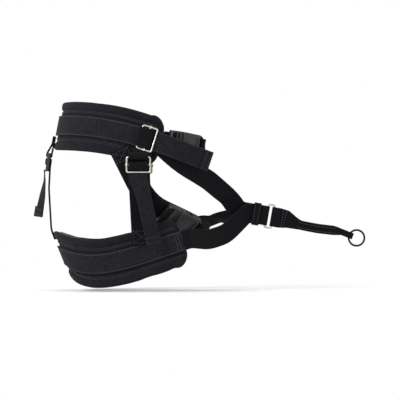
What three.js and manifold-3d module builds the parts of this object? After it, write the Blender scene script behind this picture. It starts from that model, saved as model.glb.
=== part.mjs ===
// A padded two-band head halter: an upper and a lower padded band, side, rear and
// throat straps with their adjusters and buckles, and four pull straps that meet
// in one leading strap with a ring. Millimetres, +X to the lead ring, +Z up.
import * as THREE from "three";
import { mergeVertices } from "three/addons/utils/BufferGeometryUtils.js";
import Module from "manifold-3d";

const wasm = await Module();
wasm.setup();

// ---- driving dimensions ----
const WEB_WIDTH = 25;
const WEB_THICK = 1.5;
const GAP = 0.35; // left between pieces that lie against each other
const PAD_HEIGHT = 62;
const PAD_THICK = 8;
const PAD_ROUND = 3.4;
const LINING_THICK = 1.6;
const PAD_END_ROUND = 16; // the corners at a pad's two ends
const WIRE_RADIUS = 1.2;
const BAR_PITCH = 9.5; // between the bars of a wire slider
const BAR_SIDE_PLAY = 1; // between webbing edge and slider frame
const RING_RADIUS = 10; // the lead ring, to the middle of its wire
const RING_WIRE = 1.3;
const RECT_RING_REACH = 9.2; // between the two long bars of the rectangular ring
const LEAD_WIDTH = 12; // the lead strap where it is folded lengthwise
const LEAD_LOOP_WIDTH = 8;
const BUCKLE_HEIGHT = 9.6;
const BUCKLE_WALL = 2.2;
const BUCKLE_RIM = 3.6; // beyond the webbing at each side
const BUCKLE_BODY = 31; // the socket half without its strap bar
const BUCKLE_ROUND = 1.2;
const ARM_THICK = 3.4;
const UPPER = {
  rearX: -88, turnDepth: 70, halfWidth: 78, endX: 37, endHalfWidth: 75, lean: 11,
  profile: [[-88, 87], [-49, 85.5], [0, 76.5], [40, 65]],
};
const LOWER = {
  rearX: -84, turnDepth: 70, halfWidth: 76, endX: 66, endHalfWidth: 73, lean: -22,
  profile: [[-84, -74], [-49, -86], [2.5, -77.5], [66, -57]],
};

// ---- what follows from them ----
const PLY = WEB_THICK + GAP; // one layer of webbing and its gap
const PAD_FACE = PAD_THICK / 2; // from the middle of a band to its outer face
const STRIP_OFFSET = PAD_FACE + GAP + WEB_THICK / 2;
const BIGHT = WIRE_RADIUS + GAP + WEB_THICK / 2; // webbing's bend round a wire bar
const UNDER_BAR = BIGHT - 0.1; // a strap's depth where it leaves a slider
const TAIL_START = 2.1; // from a slider's last bar to the loose tail
const BAR_HALF = WEB_WIDTH / 2 + BAR_SIDE_PLAY + WIRE_RADIUS;
const SLIDER_STANDOFF = BIGHT + PLY + WEB_THICK / 2 + GAP;

const FABRIC = { color: 0x1f2023, roughness: 0.92, metalness: 0 };
const WEBBING = { color: 0x191a1c, roughness: 0.85, metalness: 0 };
const NICKEL = { color: 0xc9c4ba, roughness: 0.25, metalness: 1 };
const PLASTIC = { color: 0x101012, roughness: 0.45, metalness: 0 };
const BLACK_STEEL = { color: 0x141414, roughness: 0.4, metalness: 0.6 };

const halter = new THREE.Group();

const vec = (p) => new THREE.Vector3(...p);
const degrees = (a) => (a * Math.PI) / 180;

function piece(name, geometry, look) {
  const mesh = new THREE.Mesh(geometry, new THREE.MeshStandardMaterial(look));
  mesh.name = name;
  halter.add(mesh);
  return mesh;
}

// The same shape on the other side of the halter's middle plane, faces still outwards.
function mirrored(geometry) {
  const copy = geometry.clone().applyMatrix4(new THREE.Matrix4().makeScale(1, -1, 1));
  const index = copy.index.array;
  for (let i = 0; i < index.length; i += 3) {
    [index[i + 1], index[i + 2]] = [index[i + 2], index[i + 1]];
  }
  return copy;
}

function bothSides(name, geometry, look) {
  piece("right_" + name, geometry, look);
  piece("left_" + name, mirrored(geometry), look);
}

// ---- solids that join and cut ----
function solid(geometry) {
  const bare = geometry.index ? geometry.toNonIndexed() : geometry.clone();
  bare.deleteAttribute("normal");
  bare.deleteAttribute("uv");
  const merged = mergeVertices(bare, 1e-3);
  return new wasm.Manifold(
    new wasm.Mesh({
      numProp: 3,
      vertProperties: merged.attributes.position.array,
      triVerts: new Uint32Array(merged.index.array),
    }),
  );
}

function geometryOf(manifold) {
  const { vertProperties, triVerts } = manifold.getMesh();
  const geometry = new THREE.BufferGeometry();
  geometry.setAttribute("position", new THREE.BufferAttribute(new Float32Array(vertProperties), 3));
  geometry.setIndex(new THREE.BufferAttribute(new Uint32Array(triVerts), 1));
  return geometry;
}

const join = (...geometries) =>
  geometryOf(geometries.map(solid).reduce((whole, next) => whole.add(next)));
const cut = (geometry, ...tools) =>
  geometryOf(tools.map(solid).reduce((whole, next) => whole.subtract(next), solid(geometry)));

// ---- sweeps ----
// Stations carry a point, the way along the sweep and the way across it; a section is
// drawn in (through, across) and runs anticlockwise.
function sweep(section, stations, closed = false) {
  const position = [];
  for (const { at, along, across, scale = [1, 1] } of stations) {
    const wide = across.clone().addScaledVector(along, -across.dot(along)).normalize();
    const through = wide.clone().cross(along);
    for (const [n, w] of section) {
      const point = at.clone();
      point.addScaledVector(through, n * scale[0]).addScaledVector(wide, w * scale[1]);
      position.push(...point);
    }
  }
  const sides = section.length;
  const count = stations.length;
  const index = [];
  for (let i = 0; i < (closed ? count : count - 1); i++) {
    const here = i * sides;
    const next = ((i + 1) % count) * sides;
    for (let j = 0; j < sides; j++) {
      const k = (j + 1) % sides;
      // The diagonal rises along the sweep on every face, so that layers twist alike.
      if (section[k][1] >= section[j][1]) {
        index.push(here + j, here + k, next + k, here + j, next + k, next + j);
      } else {
        index.push(here + j, here + k, next + j, here + k, next + k, next + j);
      }
    }
  }
  if (!closed) {
    const outline = section.map(([n, w]) => new THREE.Vector2(n, w));
    const last = (count - 1) * sides;
    for (const [a, b, c] of THREE.ShapeUtils.triangulateShape(outline, [])) {
      index.push(a, c, b, last + a, last + b, last + c);
    }
  }
  const geometry = new THREE.BufferGeometry();
  geometry.setAttribute("position", new THREE.Float32BufferAttribute(position, 3));
  geometry.setIndex(index);
  return geometry;
}

const flatSection = (thick, width) => [
  [thick / 2, -width / 2],
  [thick / 2, width / 2],
  [-thick / 2, width / 2],
  [-thick / 2, -width / 2],
];

const wireSection = (radius, sides = 8) =>
  Array.from({ length: sides }, (_, i) => {
    const a = (2 * Math.PI * (i + 0.5)) / sides;
    return [radius * Math.cos(a), radius * Math.sin(a)];
  });

// A path of straight stretches with rounded bends. A corner is {at, across, bend, wide}.
const STEP = 9;
const BEND_STEP = degrees(24);
function route(corners) {
  const at = corners.map((corner) => vec(corner.at));
  const path = [{ at: at[0], s: 0 }];
  const straightTo = (point, s) => {
    const from = path.at(-1);
    const steps = Math.max(1, Math.ceil(from.at.distanceTo(point) / STEP));
    for (let i = 1; i <= steps; i++) {
      const t = i / steps;
      path.push({ at: from.at.clone().lerp(point, t), s: from.s + (s - from.s) * t });
    }
  };
  for (let i = 1; i < at.length - 1; i++) {
    const back = at[i - 1].clone().sub(at[i]);
    const ahead = at[i + 1].clone().sub(at[i]);
    const turn = Math.PI - back.angleTo(ahead);
    const room = 0.5 * Math.min(back.length(), ahead.length());
    const reach = Math.min((corners[i].bend ?? 25) * Math.tan(turn / 2), room);
    if (turn < 0.02) {
      straightTo(at[i], i);
      continue;
    }
    const enter = at[i].clone().addScaledVector(back.clone().normalize(), reach);
    const leave = at[i].clone().addScaledVector(ahead.clone().normalize(), reach);
    const sIn = i - reach / back.length();
    const sOut = i + reach / ahead.length();
    if (enter.distanceTo(path.at(-1).at) > 0.05) straightTo(enter, sIn);
    const inward = back.clone().normalize().add(ahead.clone().normalize()).normalize();
    const centre = at[i].clone().addScaledVector(inward, reach / Math.sin(turn / 2));
    const arm = enter.clone().sub(centre);
    const axis = arm.clone().cross(leave.clone().sub(centre)).normalize();
    const steps = Math.max(2, Math.ceil(turn / BEND_STEP));
    for (let k = 1; k <= steps; k++) {
      const t = k / steps;
      const point = arm.clone().applyAxisAngle(axis, turn * t).add(centre);
      path.push({ at: point, s: sIn + (sOut - sIn) * t });
    }
  }
  if (at.at(-1).distanceTo(path.at(-1).at) > 0.05) straightTo(at.at(-1), at.length - 1);
  return path.map((point, i) => {
    const before = path[Math.max(0, i - 1)].at;
    const after = path[Math.min(path.length - 1, i + 1)].at;
    const from = Math.min(Math.floor(point.s), corners.length - 2);
    const t = point.s - from;
    const across = vec(corners[from].across).lerp(vec(corners[from + 1].across), t);
    const wide = THREE.MathUtils.lerp(corners[from].wide ?? 1, corners[from + 1].wide ?? 1, t);
    const along = after.clone().sub(before).normalize();
    return { at: point.at, along, across, scale: [1, wide] };
  });
}

const webbing = (corners, width = WEB_WIDTH, thick = WEB_THICK) =>
  sweep(flatSection(thick, width), route(corners));

// ---- a place with its own directions: along a strap, across it and off its face ----
function place(origin, along, across) {
  const a = vec(along).normalize();
  const w = vec(across).addScaledVector(a, -vec(across).dot(a)).normalize();
  const n = a.clone().cross(w);
  const at = (u, v, h = 0) => {
    const point = vec(origin).addScaledVector(a, u).addScaledVector(w, v).addScaledVector(n, h);
    return point.toArray();
  };
  const matrix = new THREE.Matrix4().makeBasis(a, w, n).setPosition(...origin);
  return { at, along: a, across: w, off: n, matrix };
}

// ---- the padded bands ----
function heightAt(profile, x) {
  return profile.reduce((sum, [xi, zi]) => {
    const weight = profile.reduce((w, [xj]) => (xj === xi ? w : (w * (x - xj)) / (xi - xj)), 1);
    return sum + zi * weight;
  }, 0);
}

function bandCurve(band) {
  const half = [];
  const quarterSteps = 4;
  for (let i = 0; i <= quarterSteps; i++) {
    const a = (Math.PI / 2) * (i / quarterSteps);
    half.push([band.rearX + band.turnDepth * (1 - Math.cos(a)), band.halfWidth * Math.sin(a)]);
  }
  half.push([band.endX, band.endHalfWidth]);
  const left = half.map(([x, y]) => [x, y, heightAt(band.profile, x)]);
  const right = left.slice(1).reverse().map(([x, y, z]) => [x, -y, z]);
  return new THREE.CatmullRomCurve3([...right, ...left].map(vec), false, "centripetal");
}

// Stations at fractions of a band's length, from its right end, at a distance outside its middle.
function bandStations(band, offset, fractions) {
  const curve = bandCurve(band);
  return fractions.map((t) => {
    const along = curve.getTangentAt(t);
    const outward = new THREE.Vector3(0, 0, 1).cross(along).normalize();
    const lean = degrees(band.lean) * Math.max(0, -outward.x) ** 1.5;
    const across = new THREE.Vector3(0, 0, Math.cos(lean)).addScaledVector(outward, -Math.sin(lean));
    const wide = across.addScaledVector(along, -across.dot(along)).normalize();
    const at = curve.getPointAt(t).addScaledVector(wide.clone().cross(along), offset);
    return { at, along, across: wide };
  });
}

// Fractions of a band's length: the stretch at each end, then even steps between them.
const BAND_STEPS = 40;
function bandFractions(band, endShares) {
  const end = PAD_END_ROUND / bandCurve(band).getLength();
  const near = endShares.map((share) => share * end);
  const between = Array.from({ length: BAND_STEPS - 1 }, (_, i) => (i + 1) / BAND_STEPS);
  const middle = between.filter((t) => t > 1.2 * end && t < 1 - 1.2 * end);
  return [...near, end, ...middle, 1 - end, ...near.map((t) => 1 - t).reverse()];
}

// A pad's ends are rounded: their corners in its own plane, and their edges through it.
const END_SHARES = [0, 0.03, 0.12, 0.35, 0.65];
const END_THROUGH = [0.45, 0.75, 1, 1, 1];
function roundedEnds(stations) {
  stations.forEach((station, i) => {
    const fromEnd = Math.min(i, stations.length - 1 - i);
    if (fromEnd >= END_SHARES.length) return;
    const short = PAD_END_ROUND * (1 - Math.sqrt(1 - (1 - END_SHARES[fromEnd]) ** 2));
    station.scale = [END_THROUGH[fromEnd], 1 - (2 * short) / PAD_HEIGHT];
  });
  return stations;
}

// The faces of a band's layers break at the same heights, so that they lie parallel.
function layerSection(thick, height, breaks) {
  const edges = [-height / 2, ...breaks, height / 2];
  return [...edges.map((w) => [thick / 2, w]), ...edges.reverse().map((w) => [-thick / 2, w])];
}

function padSection() {
  const flat = PAD_HEIGHT / 2 - PAD_ROUND;
  const breaks = [-flat, -WEB_WIDTH / 2, WEB_WIDTH / 2, flat];
  const corner = (n, w) => {
    const mid = PAD_ROUND * (1 - Math.SQRT1_2);
    return [n * (PAD_THICK / 2 - mid), w * (PAD_HEIGHT / 2 - mid)];
  };
  const edge = (n, w) => [n * (PAD_THICK / 2 - PAD_ROUND), (w * PAD_HEIGHT) / 2];
  return [
    edge(1, -1), corner(1, -1), ...breaks.map((w) => [PAD_THICK / 2, w]), corner(1, 1), edge(1, 1),
    edge(-1, 1), corner(-1, 1), ...breaks.reverse().map((w) => [-PAD_THICK / 2, w]),
    corner(-1, -1), edge(-1, -1),
  ];
}

function paddedBand(name, band) {
  const pad = roundedEnds(bandStations(band, 0, bandFractions(band, END_SHARES)));
  piece(name + "_pad", sweep(padSection(), pad), FABRIC);
  const stripEdges = [-WEB_WIDTH / 2, WEB_WIDTH / 2];
  const lining = layerSection(LINING_THICK, PAD_HEIGHT - 2 * PAD_ROUND, stripEdges);
  const inside = bandStations(band, -(PAD_FACE + GAP + LINING_THICK / 2), bandFractions(band, []));
  piece(name + "_pad_lining", sweep(lining, inside), FABRIC);
  const strip = bandStations(band, STRIP_OFFSET, bandFractions(band, [0, 0.35, 0.65]));
  piece(name + "_pad_webbing", sweep(flatSection(WEB_THICK, WEB_WIDTH), strip), WEBBING);
}
paddedBand("upper", UPPER);
paddedBand("lower", LOWER);

// A place on a band at the fraction t of its length from the right end.
const onBand = (band, t, offset) => bandStations(band, offset, [t])[0];

// ---- wire hardware ----
function wireLoop(corners, radius) {
  const stations = [];
  const count = corners.length;
  for (let i = 0; i < count; i++) {
    const before = vec(corners[(i + count - 1) % count]);
    const here = vec(corners[i]);
    const after = vec(corners[(i + 1) % count]);
    const bend = 2 * radius;
    const enter = here.clone().addScaledVector(before.clone().sub(here).normalize(), bend);
    const leave = here.clone().addScaledVector(after.clone().sub(here).normalize(), bend);
    const curve = new THREE.QuadraticBezierCurve3(enter, here, leave);
    for (const t of [0, 0.33, 0.67, 1]) {
      stations.push({ at: curve.getPoint(t), along: curve.getTangent(t), across: null });
    }
  }
  const a = vec(corners[1]).sub(vec(corners[0]));
  const normal = a.cross(vec(corners[2]).sub(vec(corners[1]))).normalize();
  for (const station of stations) station.across = normal;
  return sweep(wireSection(radius), stations, true);
}

function bar(from, to, across, radius) {
  const along = vec(to).sub(vec(from)).normalize();
  return sweep(wireSection(radius), [
    { at: vec(from), along, across },
    { at: vec(to), along, across },
  ]);
}

// Three bars at -BAR_PITCH, 0 and +BAR_PITCH along the strap.
function wireSlider(spot) {
  const frame = wireLoop(
    [
      spot.at(-BAR_PITCH, -BAR_HALF),
      spot.at(BAR_PITCH, -BAR_HALF),
      spot.at(BAR_PITCH, BAR_HALF),
      spot.at(-BAR_PITCH, BAR_HALF),
    ],
    WIRE_RADIUS,
  );
  const middle = bar(spot.at(0, -BAR_HALF), spot.at(0, BAR_HALF), spot.off, WIRE_RADIUS * 0.94);
  return join(frame, middle);
}

// ---- flat moulded shapes: u along, v across, h off the face ----
function plate(outline, height) {
  const flat = new THREE.ExtrudeGeometry(outline, {
    depth: height - 2 * BUCKLE_ROUND, bevelEnabled: true, bevelSegments: 2,
    bevelSize: BUCKLE_ROUND, bevelThickness: BUCKLE_ROUND, bevelOffset: -BUCKLE_ROUND,
  });
  return flat.translate(0, 0, -height / 2 + BUCKLE_ROUND);
}
const block = (u0, u1, v0, v1, height) =>
  new THREE.BoxGeometry(u1 - u0, v1 - v0, height).translate((u0 + u1) / 2, (v0 + v1) / 2, 0);

function outlineOf(points, noses = 0) {
  const outline = new THREE.Shape();
  points.forEach(([u, v], i) => (i ? outline.lineTo(u, v) : outline.moveTo(u, v)));
  if (noses) {
    const [u, v] = points.at(-1);
    outline.quadraticCurveTo(u + noses, v, u + noses, v + noses);
    outline.lineTo(u + noses, -v - noses);
    outline.quadraticCurveTo(u + noses, -v, u, -v);
  }
  return outline;
}

// ---- side straps: upper pad to lower pad ----
const SIDE_X = 10.5;
const SIDE_DROP = 4.8; // from the upper band's edge to the slider's middle
const SIDE_UNDER = PLY + 0.7; // room for the throat strap under the slider
const sideUpperY = -(UPPER.halfWidth + PAD_FACE);
const sideLowerY = -(LOWER.halfWidth + PAD_FACE);
const sideSpot = place(
  [SIDE_X, sideUpperY - SIDE_UNDER - SLIDER_STANDOFF,
    heightAt(UPPER.profile, SIDE_X) - PAD_HEIGHT / 2 - SIDE_DROP],
  [0, 0, -1],
  [1, 0, 0],
);
const sideAcross = sideSpot.across.toArray();
const onSide = (u, h, bend) => ({ at: sideSpot.at(u, 0, h), across: sideAcross, bend });
bothSides("side_slider", wireSlider(sideSpot), NICKEL);

const padSideH = GAP + WEB_THICK / 2 - SLIDER_STANDOFF; // webbing on the throat strap's face
const SIDE_LOOP_TOP = 5.5; // above the slider's upper bar
bothSides(
  "side_loop",
  webbing([
    onSide(-BAR_PITCH - SIDE_LOOP_TOP, padSideH),
    onSide(-BAR_PITCH - 3, -BIGHT, 4),
    onSide(-BAR_PITCH + BIGHT, -BIGHT, BIGHT),
    onSide(-BAR_PITCH + BIGHT, BIGHT, BIGHT),
    onSide(-BAR_PITCH - 3, BIGHT, 4),
    onSide(-BAR_PITCH - SIDE_LOOP_TOP, padSideH + PLY),
  ]),
  WEBBING,
);

const sideFootX = SIDE_X + 3.5;
const sideFootY = sideLowerY - GAP - WEB_THICK / 2;
bothSides(
  "side_strap",
  webbing([
    onSide(BAR_PITCH + 1, -UNDER_BAR),
    onSide(BAR_PITCH - 2, -UNDER_BAR, 3),
    onSide(BIGHT, BIGHT, 3),
    onSide(-BIGHT, BIGHT, BIGHT),
    onSide(-BIGHT, -BIGHT, BIGHT),
    onSide(0.4 * BIGHT, -BIGHT, 3),
    onSide(BAR_PITCH - 3.4, -BIGHT - PLY - 0.1, 3),
    onSide(BAR_PITCH + 6, -BIGHT - PLY - 0.1, 20),
    { at: [sideFootX, sideFootY - PLY - 0.4, -44], across: sideAcross, bend: 40 },
    { at: [sideFootX + 0.6, sideFootY - PLY - 0.4, -62], across: sideAcross },
  ]),
  WEBBING,
);

const tailSpread = 0.8;
bothSides(
  "side_tail",
  webbing([
    onSide(BAR_PITCH + TAIL_START, -UNDER_BAR),
    { at: sideSpot.at(BAR_PITCH + 9, 0, -BIGHT + 1), across: sideAcross, bend: 30 },
    { at: sideSpot.at(BAR_PITCH + 30, 7, 6.5), across: [1, tailSpread * 0.8, 0], bend: 60 },
    { at: sideSpot.at(BAR_PITCH + 91, 20, 8), across: [1, tailSpread, 0.1] },
  ], WEB_WIDTH * 0.9),
  WEBBING,
);

// ---- rear strap: lower pad to the adjuster on the upper pad ----
const rearUpper = onBand(UPPER, 0.5, PAD_FACE);
const rearLower = onBand(LOWER, 0.5, PAD_FACE);
const rearAlong = [-0.13, 0, -0.99];
const REAR_DROP = 13; // from the upper band's edge to the adjuster's middle
const rearSpot = place(
  [UPPER.rearX - PAD_FACE - 13, 0, UPPER.profile[0][1] - PAD_HEIGHT / 2 - REAR_DROP],
  rearAlong,
  [0, -1, 0],
);
const rearAcross = rearSpot.across.toArray();
const onRear = (u, h, bend) => ({ at: rearSpot.at(u, 0, h), across: rearAcross, bend });

const LOCK_PITCH = 8.5; // between the bars of the plastic adjuster
const LOCK_BAR = 1.9; // a bar's half size
const LOCK_BIGHT = LOCK_BAR + GAP + WEB_THICK / 2;
const REAR_LIFT = 0.7; // the loop clear of the turning pad
const LOCK_BEND = GAP + WEB_THICK / 2 + 0.1;
function ladderlock() {
  const half = WEB_WIDTH / 2 + BAR_SIDE_PLAY;
  const reach = LOCK_PITCH + LOCK_BAR;
  const outline = outlineOf([[-reach, -half - 3], [reach, -half - 3], [reach + 2.5, -half + 4],
    [reach + 2.5, half - 4], [reach, half + 3], [-reach, half + 3]]);
  const body = cut(
    new THREE.ExtrudeGeometry(outline, { depth: 2 * LOCK_BAR, bevelEnabled: false })
      .translate(0, 0, -LOCK_BAR),
    block(LOCK_BAR - LOCK_PITCH, -LOCK_BAR, -half, half, 3 * LOCK_BAR),
    block(LOCK_BAR, LOCK_PITCH - LOCK_BAR, -half, half, 3 * LOCK_BAR),
  );
  return body.applyMatrix4(rearSpot.matrix);
}
piece("rear_ladderlock", ladderlock(), PLASTIC);

const rearFace = (v, extra) =>
  rearUpper.at.clone().addScaledVector(rearUpper.across, v)
    .addScaledVector(rearUpper.across.clone().cross(rearUpper.along), extra).toArray();
piece(
  "rear_loop",
  webbing([
    { at: rearFace(-14, REAR_LIFT + GAP + WEB_THICK / 2), across: rearAcross },
    { at: rearFace(-24, REAR_LIFT + GAP + WEB_THICK / 2), across: rearAcross, bend: 10 },
    onRear(-LOCK_PITCH - 1.5, -LOCK_BIGHT, 3),
    onRear(-LOCK_PITCH + LOCK_BIGHT, -LOCK_BIGHT, LOCK_BEND),
    onRear(-LOCK_PITCH + LOCK_BIGHT, LOCK_BIGHT, LOCK_BEND),
    onRear(-LOCK_PITCH - 1.5, LOCK_BIGHT, 3),
    { at: rearFace(-24, REAR_LIFT + GAP + WEB_THICK / 2 + PLY), across: rearAcross, bend: 10 },
    { at: rearFace(-14, REAR_LIFT + GAP + WEB_THICK / 2 + PLY), across: rearAcross },
  ]),
  WEBBING,
);

const rearLowerFace = (v, extra) =>
  rearLower.at.clone().addScaledVector(rearLower.across, v)
    .addScaledVector(rearLower.across.clone().cross(rearLower.along), extra).toArray();
piece(
  "rear_strap",
  webbing([
    onRear(LOCK_PITCH - 3.5, LOCK_BIGHT - 1),
    onRear(LOCK_BIGHT * 0.8, LOCK_BIGHT, 3),
    onRear(-LOCK_BIGHT, LOCK_BIGHT, LOCK_BEND),
    onRear(-LOCK_BIGHT, -LOCK_BIGHT, LOCK_BEND),
    onRear(LOCK_PITCH, -LOCK_BIGHT, 6),
    { at: [-104.5, 0, 8], across: rearAcross, bend: 60 },
    { at: rearLowerFace(PAD_HEIGHT / 2 + 3, GAP + WEB_THICK / 2), across: rearAcross, bend: 30 },
    { at: rearLowerFace(PAD_HEIGHT / 2 - 10, GAP + WEB_THICK / 2), across: rearAcross },
  ]),
  WEBBING,
);
piece(
  "rear_tail",
  webbing([
    onRear(LOCK_PITCH + LOCK_BAR + 1.2, LOCK_BIGHT + 0.6),
    { at: [-110, 0, 18], across: [0.1, -1, 0], bend: 30 },
    { at: [-113, 0.6, -2], across: [0.35, -1, 0], bend: 40 },
    { at: [-117.5, 1.5, -27], across: [0.5, -1, 0] },
  ], WEB_WIDTH * 0.92),
  WEBBING,
);

// ---- the leading end: four pull straps in one stub, a ring, the lead strap ----
const STUB_START = [139, 0, -20.5];
const STUB_ALONG = [0.985, 0, -0.17];
const stub = place(STUB_START, STUB_ALONG, [0, 0, 1]);
const stubAcross = stub.across.toArray();
const STUB_LENGTH = 33;
const inStub = (u, layer, bend) => ({
  at: stub.at(u, 0, layer * PLY),
  across: stubAcross,
  bend,
});

// ---- upper pull straps, with their wire sliders on the ends of the upper pad ----
const pullOn = onBand(UPPER, 0.05, STRIP_OFFSET + WEB_THICK / 2);
const pullOff = pullOn.across.clone().cross(pullOn.along);
const pullSpot = place(
  pullOn.at.clone().addScaledVector(pullOff, SLIDER_STANDOFF + PLY * 0.7).toArray(),
  [0.95, 0.03, -0.3],
  [0.3, 0, 0.95],
);
const pullAcross = pullSpot.across.toArray();
const onPull = (u, h, bend) => ({ at: pullSpot.at(u, 0, h), across: pullAcross, bend });
bothSides("pull_slider", wireSlider(pullSpot), NICKEL);
bothSides(
  "upper_pull_strap",
  webbing([
    onPull(BAR_PITCH + 1, -UNDER_BAR),
    onPull(BAR_PITCH - 2, -UNDER_BAR, 3),
    onPull(BIGHT, BIGHT, 3),
    onPull(-BAR_PITCH - BIGHT, BIGHT, BIGHT),
    onPull(-BAR_PITCH - BIGHT, -BIGHT, BIGHT),
    onPull(0, -BIGHT, 6),
    onPull(BAR_PITCH - 3.4, -BIGHT - PLY - 0.1, 4),
    onPull(BAR_PITCH + 3, -BIGHT - PLY - 0.1, 20),
    { at: [62, -(UPPER.halfWidth - 1.5), 41], across: [0.5, -0.1, 0.86], bend: 60 },
    { at: [98, -42, 19], across: [0.5, -0.1, 0.86], bend: 80 },
    { at: [124, -12.5, -3], across: [0.45, -0.5, 0.75], bend: 40 },
    inStub(-2, 0.5, 14),
    inStub(STUB_LENGTH - 6, 0.5),
  ]),
  WEBBING,
);
bothSides(
  "pull_tail",
  webbing([
    onPull(BAR_PITCH + TAIL_START, -UNDER_BAR),
    { at: [50, -(UPPER.halfWidth + 13), 60.5], across: [0.3, -0.05, 0.95], bend: 60 },
    { at: [70, -(UPPER.halfWidth + 6), 53], across: [0.33, -0.05, 0.93], bend: 60 },
    { at: [99.5, -62, 42], across: [0.3, 0, 0.95] },
  ]),
  WEBBING,
);

// ---- lower pull straps, from the ends of the lower pad's webbing ----
const lowerEnd = onBand(LOWER, 0, STRIP_OFFSET);
const lowerStart = lowerEnd.at.clone().addScaledVector(lowerEnd.along, -GAP - 0.2);
const lowerNear = lowerEnd.at.clone().addScaledVector(lowerEnd.along, -9);
const lowerAcross = lowerEnd.across.toArray();
const lowerLead = [
  { at: lowerStart.toArray(), across: lowerAcross },
  { at: lowerNear.toArray(), across: lowerAcross, bend: 25 },
];
piece(
  "right_lower_pull_strap",
  webbing([
    ...lowerLead,
    { at: [98, -49, -56.5], across: [-0.25, -0.1, 0.96], bend: 70 },
    { at: [121, -25, -49], across: [-0.3, -0.1, 0.93], bend: 50 },
    { at: [134, -15, -36], across: [-0.1, 0, 0.98], bend: 30 },
    inStub(10, 2, 12),
    inStub(STUB_LENGTH - 8, 1.5),
  ]),
  WEBBING,
);
const toLeft = ([x, y, z]) => [x, -y, z];
piece(
  "left_lower_pull_strap",
  webbing([
    ...lowerLead.map((corner) => ({
      ...corner, at: toLeft(corner.at), across: toLeft(corner.across),
    })),
    { at: [88, 57, -34], across: [0.2, -0.75, 0.6], bend: 50 },
    { at: [108, 41, -30.5], across: [0, -0.95, 0.3], bend: 60 },
    { at: [128, 20.5, -29], across: [-0.2, -0.6, 0.75], bend: 30 },
    inStub(10, -1.7, 12),
    inStub(STUB_LENGTH - 8, -1.5),
  ]),
  WEBBING,
);

const stubLayers = 2 * PLY + GAP; // from the stub's middle to the outside of four layers
piece(
  "junction_loop",
  webbing([
    inStub(17, (stubLayers + WEB_THICK / 2) / PLY),
    inStub(STUB_LENGTH - 7, (stubLayers + WEB_THICK / 2) / PLY, 6),
    { at: stub.at(STUB_LENGTH - 1.5, 0, BIGHT), across: stubAcross, bend: 6 },
    { at: stub.at(STUB_LENGTH + BIGHT, 0, BIGHT), across: stubAcross, bend: BIGHT },
    { at: stub.at(STUB_LENGTH + BIGHT, 0, -BIGHT), across: stubAcross, bend: BIGHT },
    { at: stub.at(STUB_LENGTH - 1.5, 0, -BIGHT), across: stubAcross, bend: 6 },
    inStub(STUB_LENGTH - 7, -(stubLayers + WEB_THICK / 2) / PLY, 6),
    inStub(17, -(stubLayers + WEB_THICK / 2) / PLY),
  ]),
  WEBBING,
);
const keeperOut = stubLayers + PLY + GAP;
const keeperBox = (long, high, deep) =>
  new THREE.BoxGeometry(long, high, deep).translate(STUB_LENGTH - 12.5, 0, 0);
piece(
  "junction_keeper",
  cut(
    keeperBox(9, WEB_WIDTH + 2 * PLY, 2 * (keeperOut + WEB_THICK)),
    keeperBox(12, WEB_WIDTH + 2 * GAP, 2 * keeperOut),
  ).applyMatrix4(stub.matrix),
  WEBBING,
);

piece(
  "square_ring",
  wireLoop(
    [
      stub.at(STUB_LENGTH, -BAR_HALF),
      stub.at(STUB_LENGTH + RECT_RING_REACH, -BAR_HALF),
      stub.at(STUB_LENGTH + RECT_RING_REACH, BAR_HALF),
      stub.at(STUB_LENGTH, BAR_HALF),
    ],
    WIRE_RADIUS,
  ),
  NICKEL,
);

const LEAD_PATH = [[213, -38], [237, -42.5], [258, -45]]; // the folded stretch, in x and z
const ringCentre = [286.5, 0, -54.4];
const farBar = stub.at(STUB_LENGTH + RECT_RING_REACH, 0);
const leadStart = place(farBar, STUB_ALONG, [0, 0, 1]);
const leadStartAcross = leadStart.across.toArray();
const onLead = (u, h, bend) => ({ at: leadStart.at(u, 0, h), across: leadStartAcross, bend });
const ringAlong = [0.93, 0, -0.37];
const ringSpot = place(
  vec(ringCentre).addScaledVector(vec(ringAlong).normalize(), -RING_RADIUS).toArray(),
  ringAlong,
  [0.37, 0, 0.93],
);
const ringAcross = ringSpot.across.toArray();
const RING_BIGHT = RING_WIRE + 1.1 + GAP + WEB_THICK / 2;
const onRing = (u, h, bend, wide) => ({ at: ringSpot.at(u, 0, h), across: ringAcross, bend, wide });
const loopShare = LEAD_LOOP_WIDTH / WEB_WIDTH;
const foldShare = LEAD_WIDTH / WEB_WIDTH;
const leadBody = LEAD_PATH.map(([x, z], i) => ({
  at: [x, 0, z], across: [0.15, -0.25 * (i === 1 ? 1 : 0.4), 1], bend: 60, wide: foldShare,
}));
const LEAD_THICK = 2 * WEB_THICK + 1.2; // the folded strap
const leadSolid = join(
  webbing([
    onLead(9, BIGHT * 0.5),
    onLead(4, BIGHT, 5),
    onLead(-BIGHT, BIGHT, BIGHT),
    onLead(-BIGHT, -BIGHT, BIGHT),
    onLead(4, -BIGHT, 5),
    onLead(9, -BIGHT * 0.5),
  ]),
  webbing([
    onLead(8, 0),
    { ...onLead(16, 0, 30), wide: 0.92 },
    ...leadBody,
    onRing(-10, 0, 20, loopShare),
    onRing(-7.5, 0, 20, loopShare),
  ], WEB_WIDTH, LEAD_THICK),
  webbing([
    onRing(-8.5, RING_BIGHT * 0.42, 1, loopShare),
    onRing(-3.5, RING_BIGHT, 3, loopShare),
    onRing(RING_BIGHT + 0.8, RING_BIGHT, RING_BIGHT, loopShare),
    onRing(RING_BIGHT + 0.8, -RING_BIGHT, RING_BIGHT, loopShare),
    onRing(-3.5, -RING_BIGHT, 3, loopShare),
    onRing(-8.5, -RING_BIGHT * 0.42, 1, loopShare),
  ]),
);
piece("lead_strap", leadSolid, WEBBING);

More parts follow.
